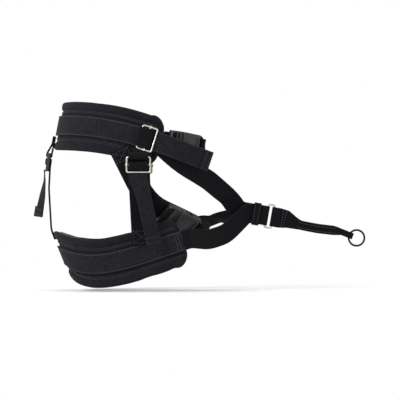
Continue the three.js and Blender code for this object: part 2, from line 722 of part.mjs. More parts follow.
const RING_STEPS = 28;
const ringStations = Array.from({ length: RING_STEPS }, (_, i) => {
  const a = (2 * Math.PI * i) / RING_STEPS;
  const out = new THREE.Vector3(Math.cos(a), 0, Math.sin(a));
  return {
    at: vec(ringCentre).addScaledVector(out, RING_RADIUS),
    along: new THREE.Vector3(-Math.sin(a), 0, Math.cos(a)),
    across: new THREE.Vector3(0, 1, 0),
  };
});
piece("lead_ring", sweep(wireSection(RING_WIRE), ringStations, true), BLACK_STEEL);

// ---- side-release buckles ----
// Local directions: u from the tongue half to the socket half, v across, h off the face.
const BUCKLE_HALF = WEB_WIDTH / 2 + BUCKLE_RIM;
const MOUTH = 0; // the socket's mouth is at u = 0, its closed end at BUCKLE_BODY
const CAVITY_HALF = BUCKLE_HALF - BUCKLE_WALL;
const CAVITY_HEIGHT = BUCKLE_HEIGHT - 2 * BUCKLE_WALL;
const CAVITY_DEPTH = 24;
const WINDOW = [7, 20];
const STRAP_SLOT = 5;
const BUCKLE_BAR = 2.4;
const ARM_ROOT = 1.2; // from the mouth to the arm's hinge
const ARM_LENGTH = 17;
const ARM_V = CAVITY_HALF - ARM_THICK / 2 - 1.6;

function buckleSocket(spot) {
  const end = BUCKLE_BODY + STRAP_SLOT + BUCKLE_BAR;
  const shape = outlineOf([[end - 9, BUCKLE_HALF], [MOUTH, BUCKLE_HALF], [MOUTH, -BUCKLE_HALF],
    [end - 9, -BUCKLE_HALF]], 9);
  const half = WEB_WIDTH / 2 + BAR_SIDE_PLAY;
  const body = cut(
    plate(shape, BUCKLE_HEIGHT),
    block(-1, CAVITY_DEPTH, -CAVITY_HALF, CAVITY_HALF, CAVITY_HEIGHT),
    block(WINDOW[0], WINDOW[1], CAVITY_HALF - 1, BUCKLE_HALF + 1, CAVITY_HEIGHT),
    block(WINDOW[0], WINDOW[1], -BUCKLE_HALF - 1, 1 - CAVITY_HALF, CAVITY_HEIGHT),
    block(BUCKLE_BODY, BUCKLE_BODY + STRAP_SLOT, -half, half, BUCKLE_HEIGHT + 2),
  );
  return body.applyMatrix4(spot.matrix);
}

const TONGUE_BACK = 20; // the tongue half behind the mouth
function buckleTongue(spot) {
  const shape = outlineOf([[-GAP, -BUCKLE_HALF], [-GAP, BUCKLE_HALF], [-TONGUE_BACK, BUCKLE_HALF - 1],
    [-TONGUE_BACK, 1 - BUCKLE_HALF]]);
  const half = WEB_WIDTH / 2 + BAR_SIDE_PLAY;
  const body = cut(
    join(
      plate(shape, BUCKLE_HEIGHT - 1.6),
      block(-4, CAVITY_DEPTH - 5, -2.2, 2.2, CAVITY_HEIGHT - 2 * GAP),
    ),
    block(-TONGUE_BACK + BUCKLE_BAR, -TONGUE_BACK + BUCKLE_BAR + STRAP_SLOT, -half, half, 20),
    block(-TONGUE_BACK + 2 * BUCKLE_BAR + STRAP_SLOT, -TONGUE_BACK + 2 * BUCKLE_BAR + STRAP_SLOT + 4,
      -half, half, 20),
  );
  return body.applyMatrix4(spot.matrix);
}

// A sprung arm with its barb in the socket's side window; side is +1 or -1 across the buckle.
function buckleArm(spot, side) {
  const inner = side * (ARM_V - ARM_THICK / 2);
  const outer = side * (ARM_V + ARM_THICK / 2);
  const barb = side * (BUCKLE_HALF - 0.4);
  const arm = new THREE.Shape();
  const points = [[ARM_ROOT, inner], [ARM_ROOT, outer], [WINDOW[0] + 0.8, outer],
    [WINDOW[0] + 1.6, barb], [ARM_LENGTH - 4, barb], [ARM_LENGTH, outer], [ARM_LENGTH, inner]];
  const ordered = side > 0 ? points.reverse() : points;
  ordered.forEach(([u, v], i) => (i ? arm.lineTo(u, v) : arm.moveTo(u, v)));
  const high = CAVITY_HEIGHT - 2 * GAP;
  const body = new THREE.ExtrudeGeometry(arm, { depth: high, bevelEnabled: false });
  return body.translate(0, 0, -high / 2).applyMatrix4(spot.matrix);
}

function buckle(name, spot) {
  piece(name + "_buckle_socket", buckleSocket(spot), PLASTIC);
  piece(name + "_buckle_tongue", buckleTongue(spot), PLASTIC);
  piece(name + "_buckle_upper_arm", buckleArm(spot, 1), PLASTIC);
  piece(name + "_buckle_lower_arm", buckleArm(spot, -1), PLASTIC);
}

// The middle of a buckle's strap bar along u, and the bend of webbing round it.
const socketBar = BUCKLE_BODY + STRAP_SLOT + BUCKLE_BAR / 2;
const tongueBar = -TONGUE_BACK + BUCKLE_BAR / 2;
const socketBend = BUCKLE_HEIGHT / 2 + GAP + WEB_THICK / 2;
const tongueBend = (BUCKLE_HEIGHT - 1.6) / 2 + GAP + WEB_THICK / 2;
const slotDepth = BUCKLE_BAR / 2 + GAP + WEB_THICK / 2 + 0.2;

// Webbing that comes in on the wearer's side, goes round a bar and lies back on itself.
function barLoop(spot, u, facing, bend, tailLength) {
  const across = spot.across.toArray();
  const at = (du, h, corner) => ({ at: spot.at(u + facing * du, 0, h), across, bend: corner });
  return [
    at(tailLength, -(bend + 0.4), 3),
    at(-slotDepth, -(bend + 0.4), 1.6),
    at(-slotDepth, bend, 1.6),
    at(tailLength * 0.5, bend, 20),
    at(tailLength, 0.2 - bend + PLY * 1.6),
  ];
}

// Brow strap: closes the upper band round the front; its buckle is on the right.
const browSpot = place([62, -58, 64], [36, 41, -7], [0.12, -0.06, 1]);
buckle("brow", browSpot);
const browAcross = browSpot.across.toArray();
const UP = [0, 0, 1];
const upperEnd = onBand(UPPER, 0, 0);
const pastUpperEnd = (far, rise = 0) =>
  upperEnd.at.clone().addScaledVector(upperEnd.along, -far)
    .addScaledVector(upperEnd.across, rise).toArray();
const upperEndAcross = upperEnd.across.toArray();
piece(
  "brow_strap_right",
  webbing([
    { at: pastUpperEnd(1, 1), across: upperEndAcross },
    { at: pastUpperEnd(2.5, 1), across: upperEndAcross, bend: 3 },
    ...barLoop(browSpot, tongueBar, -1, tongueBend, 3).slice(0, 3),
    { at: browSpot.at(tongueBar - 2.6, 0, tongueBend + 0.2), across: browAcross },
  ]),
  WEBBING,
);
piece(
  "brow_strap_left",
  webbing([
    { at: browSpot.at(socketBar + 9, 0, -socketBend + 2 * PLY), across: browAcross },
    ...barLoop(browSpot, socketBar, 1, socketBend, 7).slice(0, 4).reverse(),
    { at: [93.5, -12, 57.5], across: UP, bend: 30 },
    { at: [93.5, 14, 57.5], across: UP, bend: 40 },
    { at: [72, 58, 62], across: UP, bend: 60 },
    { at: toLeft(pastUpperEnd(6, 1)), across: toLeft(upperEndAcross), bend: 30 },
    { at: toLeft(pastUpperEnd(1, 1)), across: toLeft(upperEndAcross) },
  ]),
  WEBBING,
);

// Throat strap: from the upper band's outer face down and forward round the throat.
const throatSpot = place([55, -59.5, -30], [41, 37, -22], [0.64, -0.309, 0.69]);
buckle("throat", throatSpot);
const throatAcross = throatSpot.across.toArray();
const onPadSlant = [0.894, 0, 0.447];
const throatFaceY = -(UPPER.halfWidth + STRIP_OFFSET + 0.5);
piece(
  "throat_strap_right",
  webbing([
    { at: [-13.5, throatFaceY, 57], across: onPadSlant },
    { at: [-4.5, throatFaceY, 39], across: onPadSlant, bend: 20 },
    { at: [9, throatFaceY + 4.5, 12], across: onPadSlant, bend: 60 },
    { at: [26, throatFaceY + 7.5, -11], across: [0.72, -0.25, 0.65], bend: 30 },
    ...barLoop(throatSpot, tongueBar, -1, tongueBend, 5).slice(0, 3),
    { at: throatSpot.at(tongueBar - 3.5, 0, tongueBend + 0.4), across: throatAcross },
  ]),
  WEBBING,
);
const THROAT_FRONT = [0.45, 0, 0.9];
piece(
  "throat_strap_left",
  webbing([
    { at: throatSpot.at(socketBar + 9, 0, -socketBend + 2 * PLY), across: throatAcross },
    ...barLoop(throatSpot, socketBar, 1, socketBend, 7).slice(0, 4).reverse(),
    { at: [96, -12, -48], across: THROAT_FRONT, bend: 30 },
    { at: [96, 14, -48], across: THROAT_FRONT, bend: 40 },
    { at: [72, 50, -33], across: [0.6, 0.25, 0.75], bend: 60 },
    { at: [26, -throatFaceY - 7.5, -11], across: [0.72, 0.25, 0.65], bend: 60 },
    { at: [9, -throatFaceY - 4.5, 12], across: onPadSlant, bend: 60 },
    { at: [-4.5, -throatFaceY, 39], across: onPadSlant, bend: 20 },
    { at: [-13.5, -throatFaceY, 57], across: onPadSlant },
  ]),
  WEBBING,
);

export default halter;
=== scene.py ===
# A padded two-band head halter: padded bands, webbing straps with loose tails, wire
# sliders, a plastic adjuster, side-release buckles, and a leading strap with its ring.
import math

import bmesh
import bpy
import numpy as np
from mathutils import Matrix, Vector


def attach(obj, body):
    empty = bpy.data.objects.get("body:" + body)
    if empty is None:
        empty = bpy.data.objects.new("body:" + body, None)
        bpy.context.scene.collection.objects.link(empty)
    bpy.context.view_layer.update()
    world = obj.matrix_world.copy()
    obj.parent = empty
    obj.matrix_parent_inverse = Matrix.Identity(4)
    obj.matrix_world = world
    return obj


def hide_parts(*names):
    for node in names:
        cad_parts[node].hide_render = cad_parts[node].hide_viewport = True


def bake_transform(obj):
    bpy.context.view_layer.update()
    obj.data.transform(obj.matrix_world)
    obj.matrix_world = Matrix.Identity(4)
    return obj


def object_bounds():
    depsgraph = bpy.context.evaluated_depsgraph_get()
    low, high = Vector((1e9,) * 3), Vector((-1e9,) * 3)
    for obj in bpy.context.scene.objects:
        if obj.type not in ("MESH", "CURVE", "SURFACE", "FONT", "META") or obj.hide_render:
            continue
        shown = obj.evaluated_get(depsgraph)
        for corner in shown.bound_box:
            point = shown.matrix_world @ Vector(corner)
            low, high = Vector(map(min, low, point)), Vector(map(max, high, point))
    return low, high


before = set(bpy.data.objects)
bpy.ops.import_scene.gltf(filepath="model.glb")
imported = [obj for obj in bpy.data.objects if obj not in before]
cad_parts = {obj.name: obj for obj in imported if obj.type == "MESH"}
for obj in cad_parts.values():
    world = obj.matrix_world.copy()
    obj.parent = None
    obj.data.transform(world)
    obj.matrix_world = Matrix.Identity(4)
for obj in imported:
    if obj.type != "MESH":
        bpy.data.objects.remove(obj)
CAD_BOX = [list(corner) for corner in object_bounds()]
MM = 0.001

# ---- sizes in millimetres, as the solids have them ----
WEB_WIDTH = 25
WEB_THICK = 1.5
GAP = 0.35
PAD_HEIGHT = 62
PAD_THICK = 8
PAD_ROUND = 3.4
LINING_THICK = 1.6
PAD_END_ROUND = 16
WIRE_RADIUS = 1.2
BAR_PITCH = 9.5
BAR_SIDE_PLAY = 1
RING_RADIUS = 10
RING_WIRE = 1.3
RECT_RING_REACH = 9.2
LEAD_WIDTH = 12
LEAD_LOOP_WIDTH = 8
PLY = WEB_THICK + GAP
PAD_FACE = PAD_THICK / 2
STRIP_OFFSET = PAD_FACE + GAP + WEB_THICK / 2
BIGHT = WIRE_RADIUS + GAP + WEB_THICK / 2
UNDER_BAR = BIGHT - 0.1
TAIL_START = 2.1
BAR_HALF = WEB_WIDTH / 2 + BAR_SIDE_PLAY + WIRE_RADIUS
SLIDER_STANDOFF = BIGHT + PLY + WEB_THICK / 2 + GAP
HEM = 12  # folded back and sewn at the end of each loose tail
UPPER = dict(rear=-88, turn=70, half=78, end=37, end_half=75, lean=11,
             profile=[(-88, 87), (-49, 85.5), (0, 76.5), (40, 65)])
LOWER = dict(rear=-84, turn=70, half=76, end=66, end_half=73, lean=-22,
             profile=[(-84, -74), (-49, -86), (2.5, -77.5), (66, -57)])


def height_at(profile, x):
    """The smooth height of a padded band's middle through its profile points."""
    return sum(zi * math.prod((x - xj) / (xi - xj) for xj, _ in profile if xj != xi)
               for xi, zi in profile)


# ---- shader expressions ----
class Wire:
    """A socket of a finish, so that maths on it reads as an expression."""

    def __init__(self, finish, socket):
        self.finish, self.socket = finish, socket

    def math(self, operation, *others):
        return self.finish.node("ShaderNodeMath", {"operation": operation},
                                dict(enumerate((self, *others))))

    def __add__(self, other): return self.math("ADD", other)
    def __radd__(self, other): return self.math("ADD", other)
    def __mul__(self, other): return self.math("MULTIPLY", other)
    def __rmul__(self, other): return self.math("MULTIPLY", other)
    def __sub__(self, other): return self.math("SUBTRACT", other)
    def __rsub__(self, other): return (self * -1) + other
    def __truediv__(self, other): return self.math("DIVIDE", other)
    def wave(self, length): return (self * (2 * math.pi / length)).math("SINE")
    def size(self): return self.math("ABSOLUTE")

    def between(self, low, high):
        """0 below low, 1 above high, smooth between."""
        return self.finish.node("ShaderNodeMapRange", {"interpolation_type": "SMOOTHSTEP"},
                                {"Value": self, "From Min": low, "From Max": high})


class Finish:
    """A procedural material: nodes are added by node(), and surface() joins them up."""

    def __init__(self, name):
        self.material = bpy.data.materials.new(name)
        self.material.use_nodes = True
        self.tree = self.material.node_tree
        self.tree.nodes.clear()

    def put(self, socket, value):
        if isinstance(value, Wire):
            self.tree.links.new(value.socket, socket)
        else:
            socket.default_value = value

    def node(self, kind, settings=None, values=None, out=0):
        made = self.tree.nodes.new(kind)
        for key, value in (settings or {}).items():
            setattr(made, key, value)
        for key, value in (values or {}).items():
            self.put(made.inputs[key], value)
        return Wire(self, made.outputs[out])

    def place(self, scale=1.0):
        """Object coordinates in millimetres, times scale."""
        where = self.node("ShaderNodeTexCoord", out="Object")
        return self.node("ShaderNodeVectorMath", {"operation": "SCALE"},
                         {0: where, "Scale": 1000 * scale})

    def along_across(self):
        """Millimetres along and across the webbing or cloth, from the piece's own map."""
        where = self.node("ShaderNodeUVMap", {"uv_map": "cloth"})
        split = self.tree.nodes.new("ShaderNodeSeparateXYZ")
        self.put(split.inputs[0], where)
        return Wire(self, split.outputs[0]) * 100, Wire(self, split.outputs[1]) * 100

    def noise(self, per_mm, detail=3.0, rough=0.55):
        return self.node("ShaderNodeTexNoise", None,
                         {"Vector": self.place(), "Scale": per_mm, "Detail": detail,
                          "Roughness": rough})

    def mix(self, share, first, second):
        made = self.tree.nodes.new("ShaderNodeMix")
        made.data_type = "RGBA"
        self.put(made.inputs["Factor"], share)
        self.put(made.inputs[6], first)
        self.put(made.inputs[7], second)
        return Wire(self, made.outputs[2])

    def bump(self, height, depth_mm, strength=1.0):
        return self.node("ShaderNodeBump", None,
                         {"Height": height, "Distance": depth_mm * MM, "Strength": strength})

    def surface(self, **sockets):
        shader = self.tree.nodes.new("ShaderNodeBsdfPrincipled")
        output = self.tree.nodes.new("ShaderNodeOutputMaterial")
        for key, value in sockets.items():
            self.put(shader.inputs[key.replace("_", " ")], value)
        self.tree.links.new(shader.outputs[0], output.inputs[0])
        return self.material


def grey(level, blue=1.35):
    return (level, level * 1.01, level * blue, 1)


def woven(name, dark, light, rib=1.3, column=1.7, speckle=0.5, edge=None):
    """Flat-woven webbing: ribs across it, columns along it, paler flecks, rubbed edges."""
    f = Finish(name)
    along, across = f.along_across()
    twill = (along + across * 0.45).wave(rib) * (across.wave(column) * 0.5 + 0.6)
    flecks = f.noise(0.85, 2.0).between(0.42, 0.72)
    broad = f.noise(0.06, 3.0)
    share = twill * 0.22 + flecks * speckle + broad * 0.35 - 0.05
    colour = f.mix(share.math("MINIMUM", 1.0).math("MAXIMUM", 0.0), grey(dark), grey(light))
    if edge:
        rub = across.size().between(edge - 1.3, edge - 0.2)
        colour = f.mix(rub * 0.5, colour, grey(light * 1.25))
    relief = twill * 0.5 + flecks * 0.35
    return f.surface(Base_Color=colour, Roughness=0.78 + broad * 0.16, Normal=f.bump(relief, 0.35),
                     Sheen_Weight=0.02, Sheen_Roughness=0.5, Specular_IOR_Level=0.08)


def padded_cloth(name, dark, light, thread=0.9):
    """Tight plain-woven cloth over padding, a little fuzzy, with broad paler patches at random."""
    f = Finish(name)
    along, across = f.along_across()
    weave = along.wave(thread) * across.wave(thread)
    flecks = f.noise(0.7, 3.0).between(0.4, 0.75)
    cloud = f.noise(0.045, 4.0)
    share = (weave * 0.12 + flecks * 0.45 + cloud * 0.4).math("MINIMUM", 1.0)
    colour = f.mix(share.math("MAXIMUM", 0.0), grey(dark), grey(light))
    relief = weave * 0.4 + flecks * 0.5
    return f.surface(Base_Color=colour, Roughness=0.84 + cloud * 0.12, Normal=f.bump(relief, 0.3),
                     Sheen_Weight=0.03, Sheen_Roughness=0.45, Specular_IOR_Level=0.08)


def spacer_lining(name):
    """Open-knit lining: rows of small round holes in a soft dark face, the holes painted near black as painted
    shade.
    """
    f = Finish(name)
    along, across = f.along_across()
    holes = (along.wave(2.6) * across.wave(2.6)).between(0.25, 0.8)
    fuzz = f.noise(0.5, 4.0)
    # The holes are painted near black: painted shade inside the openings.
    colour = f.mix(holes, f.mix(fuzz, grey(0.014), grey(0.03)), grey(0.004))
    return f.surface(Base_Color=colour, Roughness=0.88 + fuzz * 0.1,
                     Normal=f.bump(fuzz * 0.3 - holes, 0.5), Sheen_Weight=0.2)


def plated_wire(name, tint):
    f = Finish(name)
    smear = f.noise(0.12, 4.0)
    scratch = f.noise(1.6, 2.0)
    colour = f.mix(smear.between(0.35, 0.75), tint, (tint[0] * 0.72, tint[1] * 0.7, tint[2] * 0.66, 1))
    return f.surface(Base_Color=colour, Metallic=1.0, Roughness=0.17 + smear * 0.2,
                     Normal=f.bump(scratch, 0.03))


def blackened_steel(name):
    f = Finish(name)
    wear = f.noise(0.3, 5.0).between(0.58, 0.72)
    colour = f.mix(wear, grey(0.006, 1.0), (0.05, 0.047, 0.043, 1))
    return f.surface(Base_Color=colour, Metallic=0.55, Roughness=0.34 + wear * 0.2,
                     Normal=f.bump(f.noise(1.1, 2.0), 0.04))


def moulded_plastic(name):
    f = Finish(name)
    grain = f.noise(2.2, 2.0)
    cloud = f.noise(0.09, 3.0)
    colour = f.mix(cloud, grey(0.003, 1.05), grey(0.006, 1.05))
    return f.surface(Base_Color=colour, Roughness=0.36 + grain * 0.14 + cloud * 0.06,
                     Normal=f.bump(grain, 0.05), Specular_IOR_Level=0.5)


def sewing_thread(name):
    f = Finish(name)
    twist = f.noise(1.8, 1.0)
    return f.surface(Base_Color=f.mix(twist, grey(0.012), grey(0.035)), Roughness=0.6 + twist * 0.2,
                     Sheen_Weight=0.1)


PAD_CLOTH = padded_cloth("charcoal pad cloth", 0.0035, 0.022)
PAD_WEBBING = woven("charcoal pad webbing", 0.004, 0.025, 1.4, 1.8, 0.7, 12.5)
STRAP_WEBBING = woven("black strap webbing", 0.0022, 0.009, 1.3, 1.7, 0.4, 12.5)
# The loose tails are the strap webbing painted lighter: painted light for the light the turned tails catch.
LIT_TAIL_WEBBING = woven("painted-lit tail webbing", 0.0035, 0.021, 1.3, 1.7, 0.75, 12.0)
LINING = spacer_lining("open-knit lining")
NICKEL = plated_wire("nickel plate", (0.62, 0.58, 0.52, 1))
RING_BLACK = blackened_steel("blackened ring steel")
BUCKLE_PLASTIC = moulded_plastic("moulded buckle plastic")
THREAD = sewing_thread("sewing thread")


# ---- directions and paths ----
def vec(p):
    return np.array(p, float)


def unit(v):
    return v / np.linalg.norm(v)


class Spot:
    """A place with its own directions: along a strap, across it and off its outer face."""

    def __init__(self, origin, along, across):
        self.origin = vec(origin)
        self.along = unit(vec(along))
        self.across = unit(vec(across) - np.dot(vec(across), self.along) * self.along)
        self.off = np.cross(self.along, self.across)

    def at(self, u, v=0.0, h=0.0):
        return self.origin + u * self.along + v * self.across + h * self.off


def turned(v, axis, angle):
    return (v * math.cos(angle) + np.cross(axis, v) * math.sin(angle)
            + axis * np.dot(axis, v) * (1 - math.cos(angle)))


def corner(at, across, bend=25, wide=1.0):
    return vec(at), vec(across), bend, wide


class Path:
    """Straight stretches with rounded bends through corners: points, directions, length."""

    def __init__(self, corners, step=3.0, bend_step=math.radians(11)):
        at = [c[0] for c in corners]
        points = [(at[0], 0.0)]

        def straight_to(point, s):
            start, s0 = points[-1]
            count = max(1, math.ceil(np.linalg.norm(point - start) / step))
            for i in range(1, count + 1):
                points.append((start + (point - start) * i / count, s0 + (s - s0) * i / count))

        for i in range(1, len(at) - 1):
            back, ahead = at[i - 1] - at[i], at[i + 1] - at[i]
            lb, la = np.linalg.norm(back), np.linalg.norm(ahead)
            turn = math.pi - math.acos(np.clip(np.dot(back, ahead) / (lb * la), -1, 1))
            if turn < 0.02:
                straight_to(at[i], i)
                continue
            reach = min(corners[i][2] * math.tan(turn / 2), 0.5 * min(lb, la))
            enter, leave = at[i] + back / lb * reach, at[i] + ahead / la * reach
            s_in, s_out = i - reach / lb, i + reach / la
            if np.linalg.norm(enter - points[-1][0]) > 0.05:
                straight_to(enter, s_in)
            inward = unit(back / lb + ahead / la)
            centre = at[i] + inward * reach / math.sin(turn / 2)
            arm = enter - centre
            axis = unit(np.cross(arm, leave - centre))
            count = max(3, math.ceil(turn / bend_step))
            for k in range(1, count + 1):
                points.append((turned(arm, axis, turn * k / count) + centre,
                               s_in + (s_out - s_in) * k / count))
        if np.linalg.norm(at[-1] - points[-1][0]) > 0.05:
            straight_to(at[-1], len(at) - 1)
        self.at = np.array([p for p, _ in points])
        gaps = np.linalg.norm(np.diff(self.at, axis=0), axis=1)
        self.s = np.concatenate([[0], np.cumsum(gaps)])
        self.length = self.s[-1]
        self.along = np.array([
            unit(self.at[min(i + 1, len(points) - 1)] - self.at[max(i - 1, 0)])
            for i in range(len(points))])
        self.across, self.wide = [], []
        for (_, s), along in zip(points, self.along):
            k = min(int(s), len(corners) - 2)
            t = s - k
            across = corners[k][1] * (1 - t) + corners[k + 1][1] * t
            self.across.append(unit(across - np.dot(across, along) * along))
            self.wide.append(corners[k][3] * (1 - t) + corners[k + 1][3] * t)
        self.across = np.array(self.across)
        self.through = np.cross(self.across, self.along)

    def point(self, s, w, n):
        """A point s along (from the end where s is negative), w across and n through."""
        s = s if s >= 0 else self.length + s
        i = int(np.clip(np.searchsorted(self.s, s) - 1, 0, len(self.s) - 2))
        t = (s - self.s[i]) / max(1e-9, self.s[i + 1] - self.s[i])
        mix = lambda a: a[i] * (1 - t) + a[i + 1] * t
        return mix(self.at) + w * mix(self.across) + n * mix(self.through)


class BandPath(Path):
    """A padded band's line, at a distance outside its middle, through even stations."""

    def __init__(self, band, offset, shares):
        half = []
        for i in range(5):
            a = math.pi / 2 * i / 4
            half.append((band["rear"] + band["turn"] * (1 - math.cos(a)), band["half"] * math.sin(a)))
        half.append((band["end"], band["end_half"]))
        left = [vec((x, y, height_at(band["profile"], x))) for x, y in half]
        right = [vec((x, -y, height_at(band["profile"], x))) for x, y in half[1:]][::-1]
        self.knots = right + left
        fine = np.array([self.curve(t) for t in np.linspace(0, 1, 801)])
        run = np.concatenate([[0], np.cumsum(np.linalg.norm(np.diff(fine, axis=0), axis=1))])
        self.middle_length = run[-1]
        at, along, across = [], [], []
        for share in shares:
            t = np.interp(share * run[-1], run, np.linspace(0, 1, 801))
            ahead = unit(self.curve(min(1, t + 1e-3)) - self.curve(max(0, t - 1e-3)))
            outward = unit(np.cross((0, 0, 1), ahead))
            lean = math.radians(band["lean"]) * max(0.0, -outward[0]) ** 1.5
            wide = vec((0, 0, math.cos(lean))) - math.sin(lean) * outward
            wide = unit(wide - np.dot(wide, ahead) * ahead)
            at.append(self.curve(t) + np.cross(wide, ahead) * offset)
            along.append(ahead)
            across.append(wide)
        self.at, self.along, self.across = np.array(at), np.array(along), np.array(across)
        self.through = np.cross(self.across, self.along)
        gaps = np.linalg.norm(np.diff(self.at, axis=0), axis=1)
        self.s = np.concatenate([[0], np.cumsum(gaps)])
        self.length = self.s[-1]
        self.wide = [1.0] * len(at)

    def curve(self, t):
        """Centripetal Catmull-Rom through the knots."""
        p = self.knots
        k = min(int((len(p) - 1) * t), len(p) - 2)
        t = (len(p) - 1) * t - k
        x1, x2 = p[k], p[k + 1]
        x0 = p[k - 1] if k > 0 else 2 * p[0] - p[1]
        x3 = p[k + 2] if k + 2 < len(p) else 2 * p[-1] - p[-2]
        d0, d1, d2 = (math.sqrt(np.linalg.norm(b - a)) for a, b in ((x0, x1), (x1, x2), (x2, x3)))
        t1 = ((x1 - x0) / d0 - (x2 - x0) / (d0 + d1) + (x2 - x1) / d1) * d1
        t2 = ((x2 - x1) / d1 - (x3 - x1) / (d1 + d2) + (x3 - x2) / d2) * d1
        return (x1 + t1 * t + (3 * (x2 - x1) - 2 * t1 - t2) * t ** 2
                + (2 * (x1 - x2) + t1 + t2) * t ** 3)


# ---- pieces ----
def new_piece(name, vertices, faces, finish, uv=None, smooth=True):
    """A mesh piece from points in millimetres; uv gives along and across in millimetres."""
    mesh = bpy.data.meshes.new(name)
    mesh.from_pydata([tuple(v * MM) for v in np.asarray(vertices, float)], [], faces)
    mesh.validate()
    piece = bpy.data.objects.new(name, mesh)
    bpy.context.scene.collection.objects.link(piece)
    mesh.materials.append(finish)
    if uv is not None:
        layer = mesh.uv_layers.new(name="cloth")
        for loop in mesh.loops:
            layer.data[loop.index].uv = (uv[loop.vertex_index][0] / 100, uv[loop.vertex_index][1] / 100)
    for polygon in mesh.polygons:
        polygon.use_smooth = smooth and len(polygon.vertices) < 6
    return piece


def belongs(piece, body, slot, *nodes):
    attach(piece, body)
    if nodes:
        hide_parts(*nodes)
    return piece


def mirrored(piece, name):
    """The same piece on the halter's other side."""
    copy = piece.copy()
    copy.data = piece.data.copy()
    copy.name = copy.data.name = name
    bpy.context.scene.collection.objects.link(copy)
    copy.data.transform(Matrix.Scale(-1, 4, (0, 1, 0)))
    copy.data.flip_normals()
    return copy


def joined(name, pieces):
    """Several meshes as one piece."""
    whole = bmesh.new()
    finishes = []
    for piece in pieces:
        slots = []
        for finish in piece.data.materials:
            if finish not in finishes:
                finishes.append(finish)
            slots.append(finishes.index(finish))
        first = len(whole.faces)
        whole.from_mesh(piece.data)
        whole.faces.ensure_lookup_table()
        for face in whole.faces[first:]:
            face.material_index = slots[face.material_index]
    mesh = bpy.data.meshes.new(name)
    whole.to_mesh(mesh)
    whole.free()
    for finish in finishes:
        mesh.materials.append(finish)
    for piece in pieces:
        bpy.data.objects.remove(piece)
    made = bpy.data.objects.new(name, mesh)
    bpy.context.scene.collection.objects.link(made)
    return made


def swept(name, path, section, finish, closed=False, scale=None):
    """A section of (through, across) points carried along a path."""
    sides, count = len(section), len(path.at)
    vertices, uv, faces = [], [], []
    ring = np.array(section)
    for i in range(count):
        thin, narrow = scale[i] if scale else (1.0, path.wide[i])
        vertices += list(path.at[i] + np.outer(ring[:, 0] * thin, path.through[i])
                         + np.outer(ring[:, 1] * narrow, path.across[i]))
        uv += [(path.s[i], w * narrow) for w in ring[:, 1]]
    for i in range(count if closed else count - 1):
        a, b = i * sides, ((i + 1) % count) * sides
        faces += [(a + j, a + (j + 1) % sides, b + (j + 1) % sides, b + j) for j in range(sides)]
    if not closed:
        faces += [tuple(range(sides))[::-1], tuple((count - 1) * sides + j for j in range(sides))]
    return new_piece(name, vertices, faces, finish, uv)


def webbing_section(width, thick, groove=0.0):
    """Rounded selvedges, a bead beside each, and a dip along the middle of a folded strap."""
    shares = [(1, 0.1), (0.985, 0.34), (0.95, 0.5), (0.9, 0.52), (0.8, 0.48), (0.5, 0.5),
              (0.2, 0.5), (0, 0.5 - groove)]
    half = [(w, n) for w, n in shares] + [(-w, n) for w, n in shares[-2::-1]]
    top = [(n * thick, -w * width / 2) for w, n in half]
    return top + [(-n, w) for n, w in top[::-1]]


def webbing(name, corners, finish=None, width=WEB_WIDTH, thick=WEB_THICK, groove=0.0):
    path = Path(corners)
    piece = swept(name, path, webbing_section(width, thick, groove), finish or STRAP_WEBBING)
    piece["length_mm"] = round(float(path.length), 1)
    return piece, path


# ---- stitches, set along lines by geometry nodes ----
def stitch_tree():
    tree = bpy.data.node_groups.new("stitch run", "GeometryNodeTree")
    face = tree.interface
    face.new_socket("Lines", in_out="INPUT", socket_type="NodeSocketGeometry")
    for name, value in (("Pitch", 0.0032), ("Stitch", 0.0025), ("Thread", 0.00034)):
        face.new_socket(name, in_out="INPUT", socket_type="NodeSocketFloat").default_value = value
    face.new_socket("Finish", in_out="INPUT", socket_type="NodeSocketMaterial")
    face.new_socket("Stitches", in_out="OUTPUT", socket_type="NodeSocketGeometry")
    node = tree.nodes.new
    link = tree.links.new
    given, made = node("NodeGroupInput"), node("NodeGroupOutput")
    curve, spread = node("GeometryNodeMeshToCurve"), node("GeometryNodeResampleCurve")
    spread.mode = "LENGTH"
    link(given.outputs["Lines"], curve.inputs[0])
    link(curve.outputs[0], spread.inputs["Curve"])
    link(given.outputs["Pitch"], spread.inputs["Length"])
    bead = node("GeometryNodeMeshUVSphere")
    size = node("ShaderNodeCombineXYZ")
    shape = node("GeometryNodeTransform")
    bead.inputs["Segments"].default_value = 6
    bead.inputs["Rings"].default_value = 5
    bead.inputs["Radius"].default_value = 1.0
    half = node("ShaderNodeMath")
    half.operation = "MULTIPLY"
    half.inputs[1].default_value = 0.5
    link(given.outputs["Stitch"], half.inputs[0])
    link(given.outputs["Thread"], size.inputs[0])
    link(given.outputs["Thread"], size.inputs[1])
    link(half.outputs[0], size.inputs[2])
    link(bead.outputs["Mesh"], shape.inputs["Geometry"])
    link(size.outputs[0], shape.inputs["Scale"])
    turn, way = node("FunctionNodeAlignRotationToVector"), node("GeometryNodeInputTangent")
    turn.axis = "Z"
    link(way.outputs[0], turn.inputs["Vector"])
    copies, real = node("GeometryNodeInstanceOnPoints"), node("GeometryNodeRealizeInstances")
    link(spread.outputs[0], copies.inputs["Points"])
    link(shape.outputs[0], copies.inputs["Instance"])
    link(turn.outputs[0], copies.inputs["Rotation"])
    link(copies.outputs[0], real.inputs[0])
    finish = node("GeometryNodeSetMaterial")
    link(real.outputs[0], finish.inputs["Geometry"])
    link(given.outputs["Finish"], finish.inputs["Material"])
    link(finish.outputs[0], made.inputs[0])
    return tree


STITCH_RUN = stitch_tree()


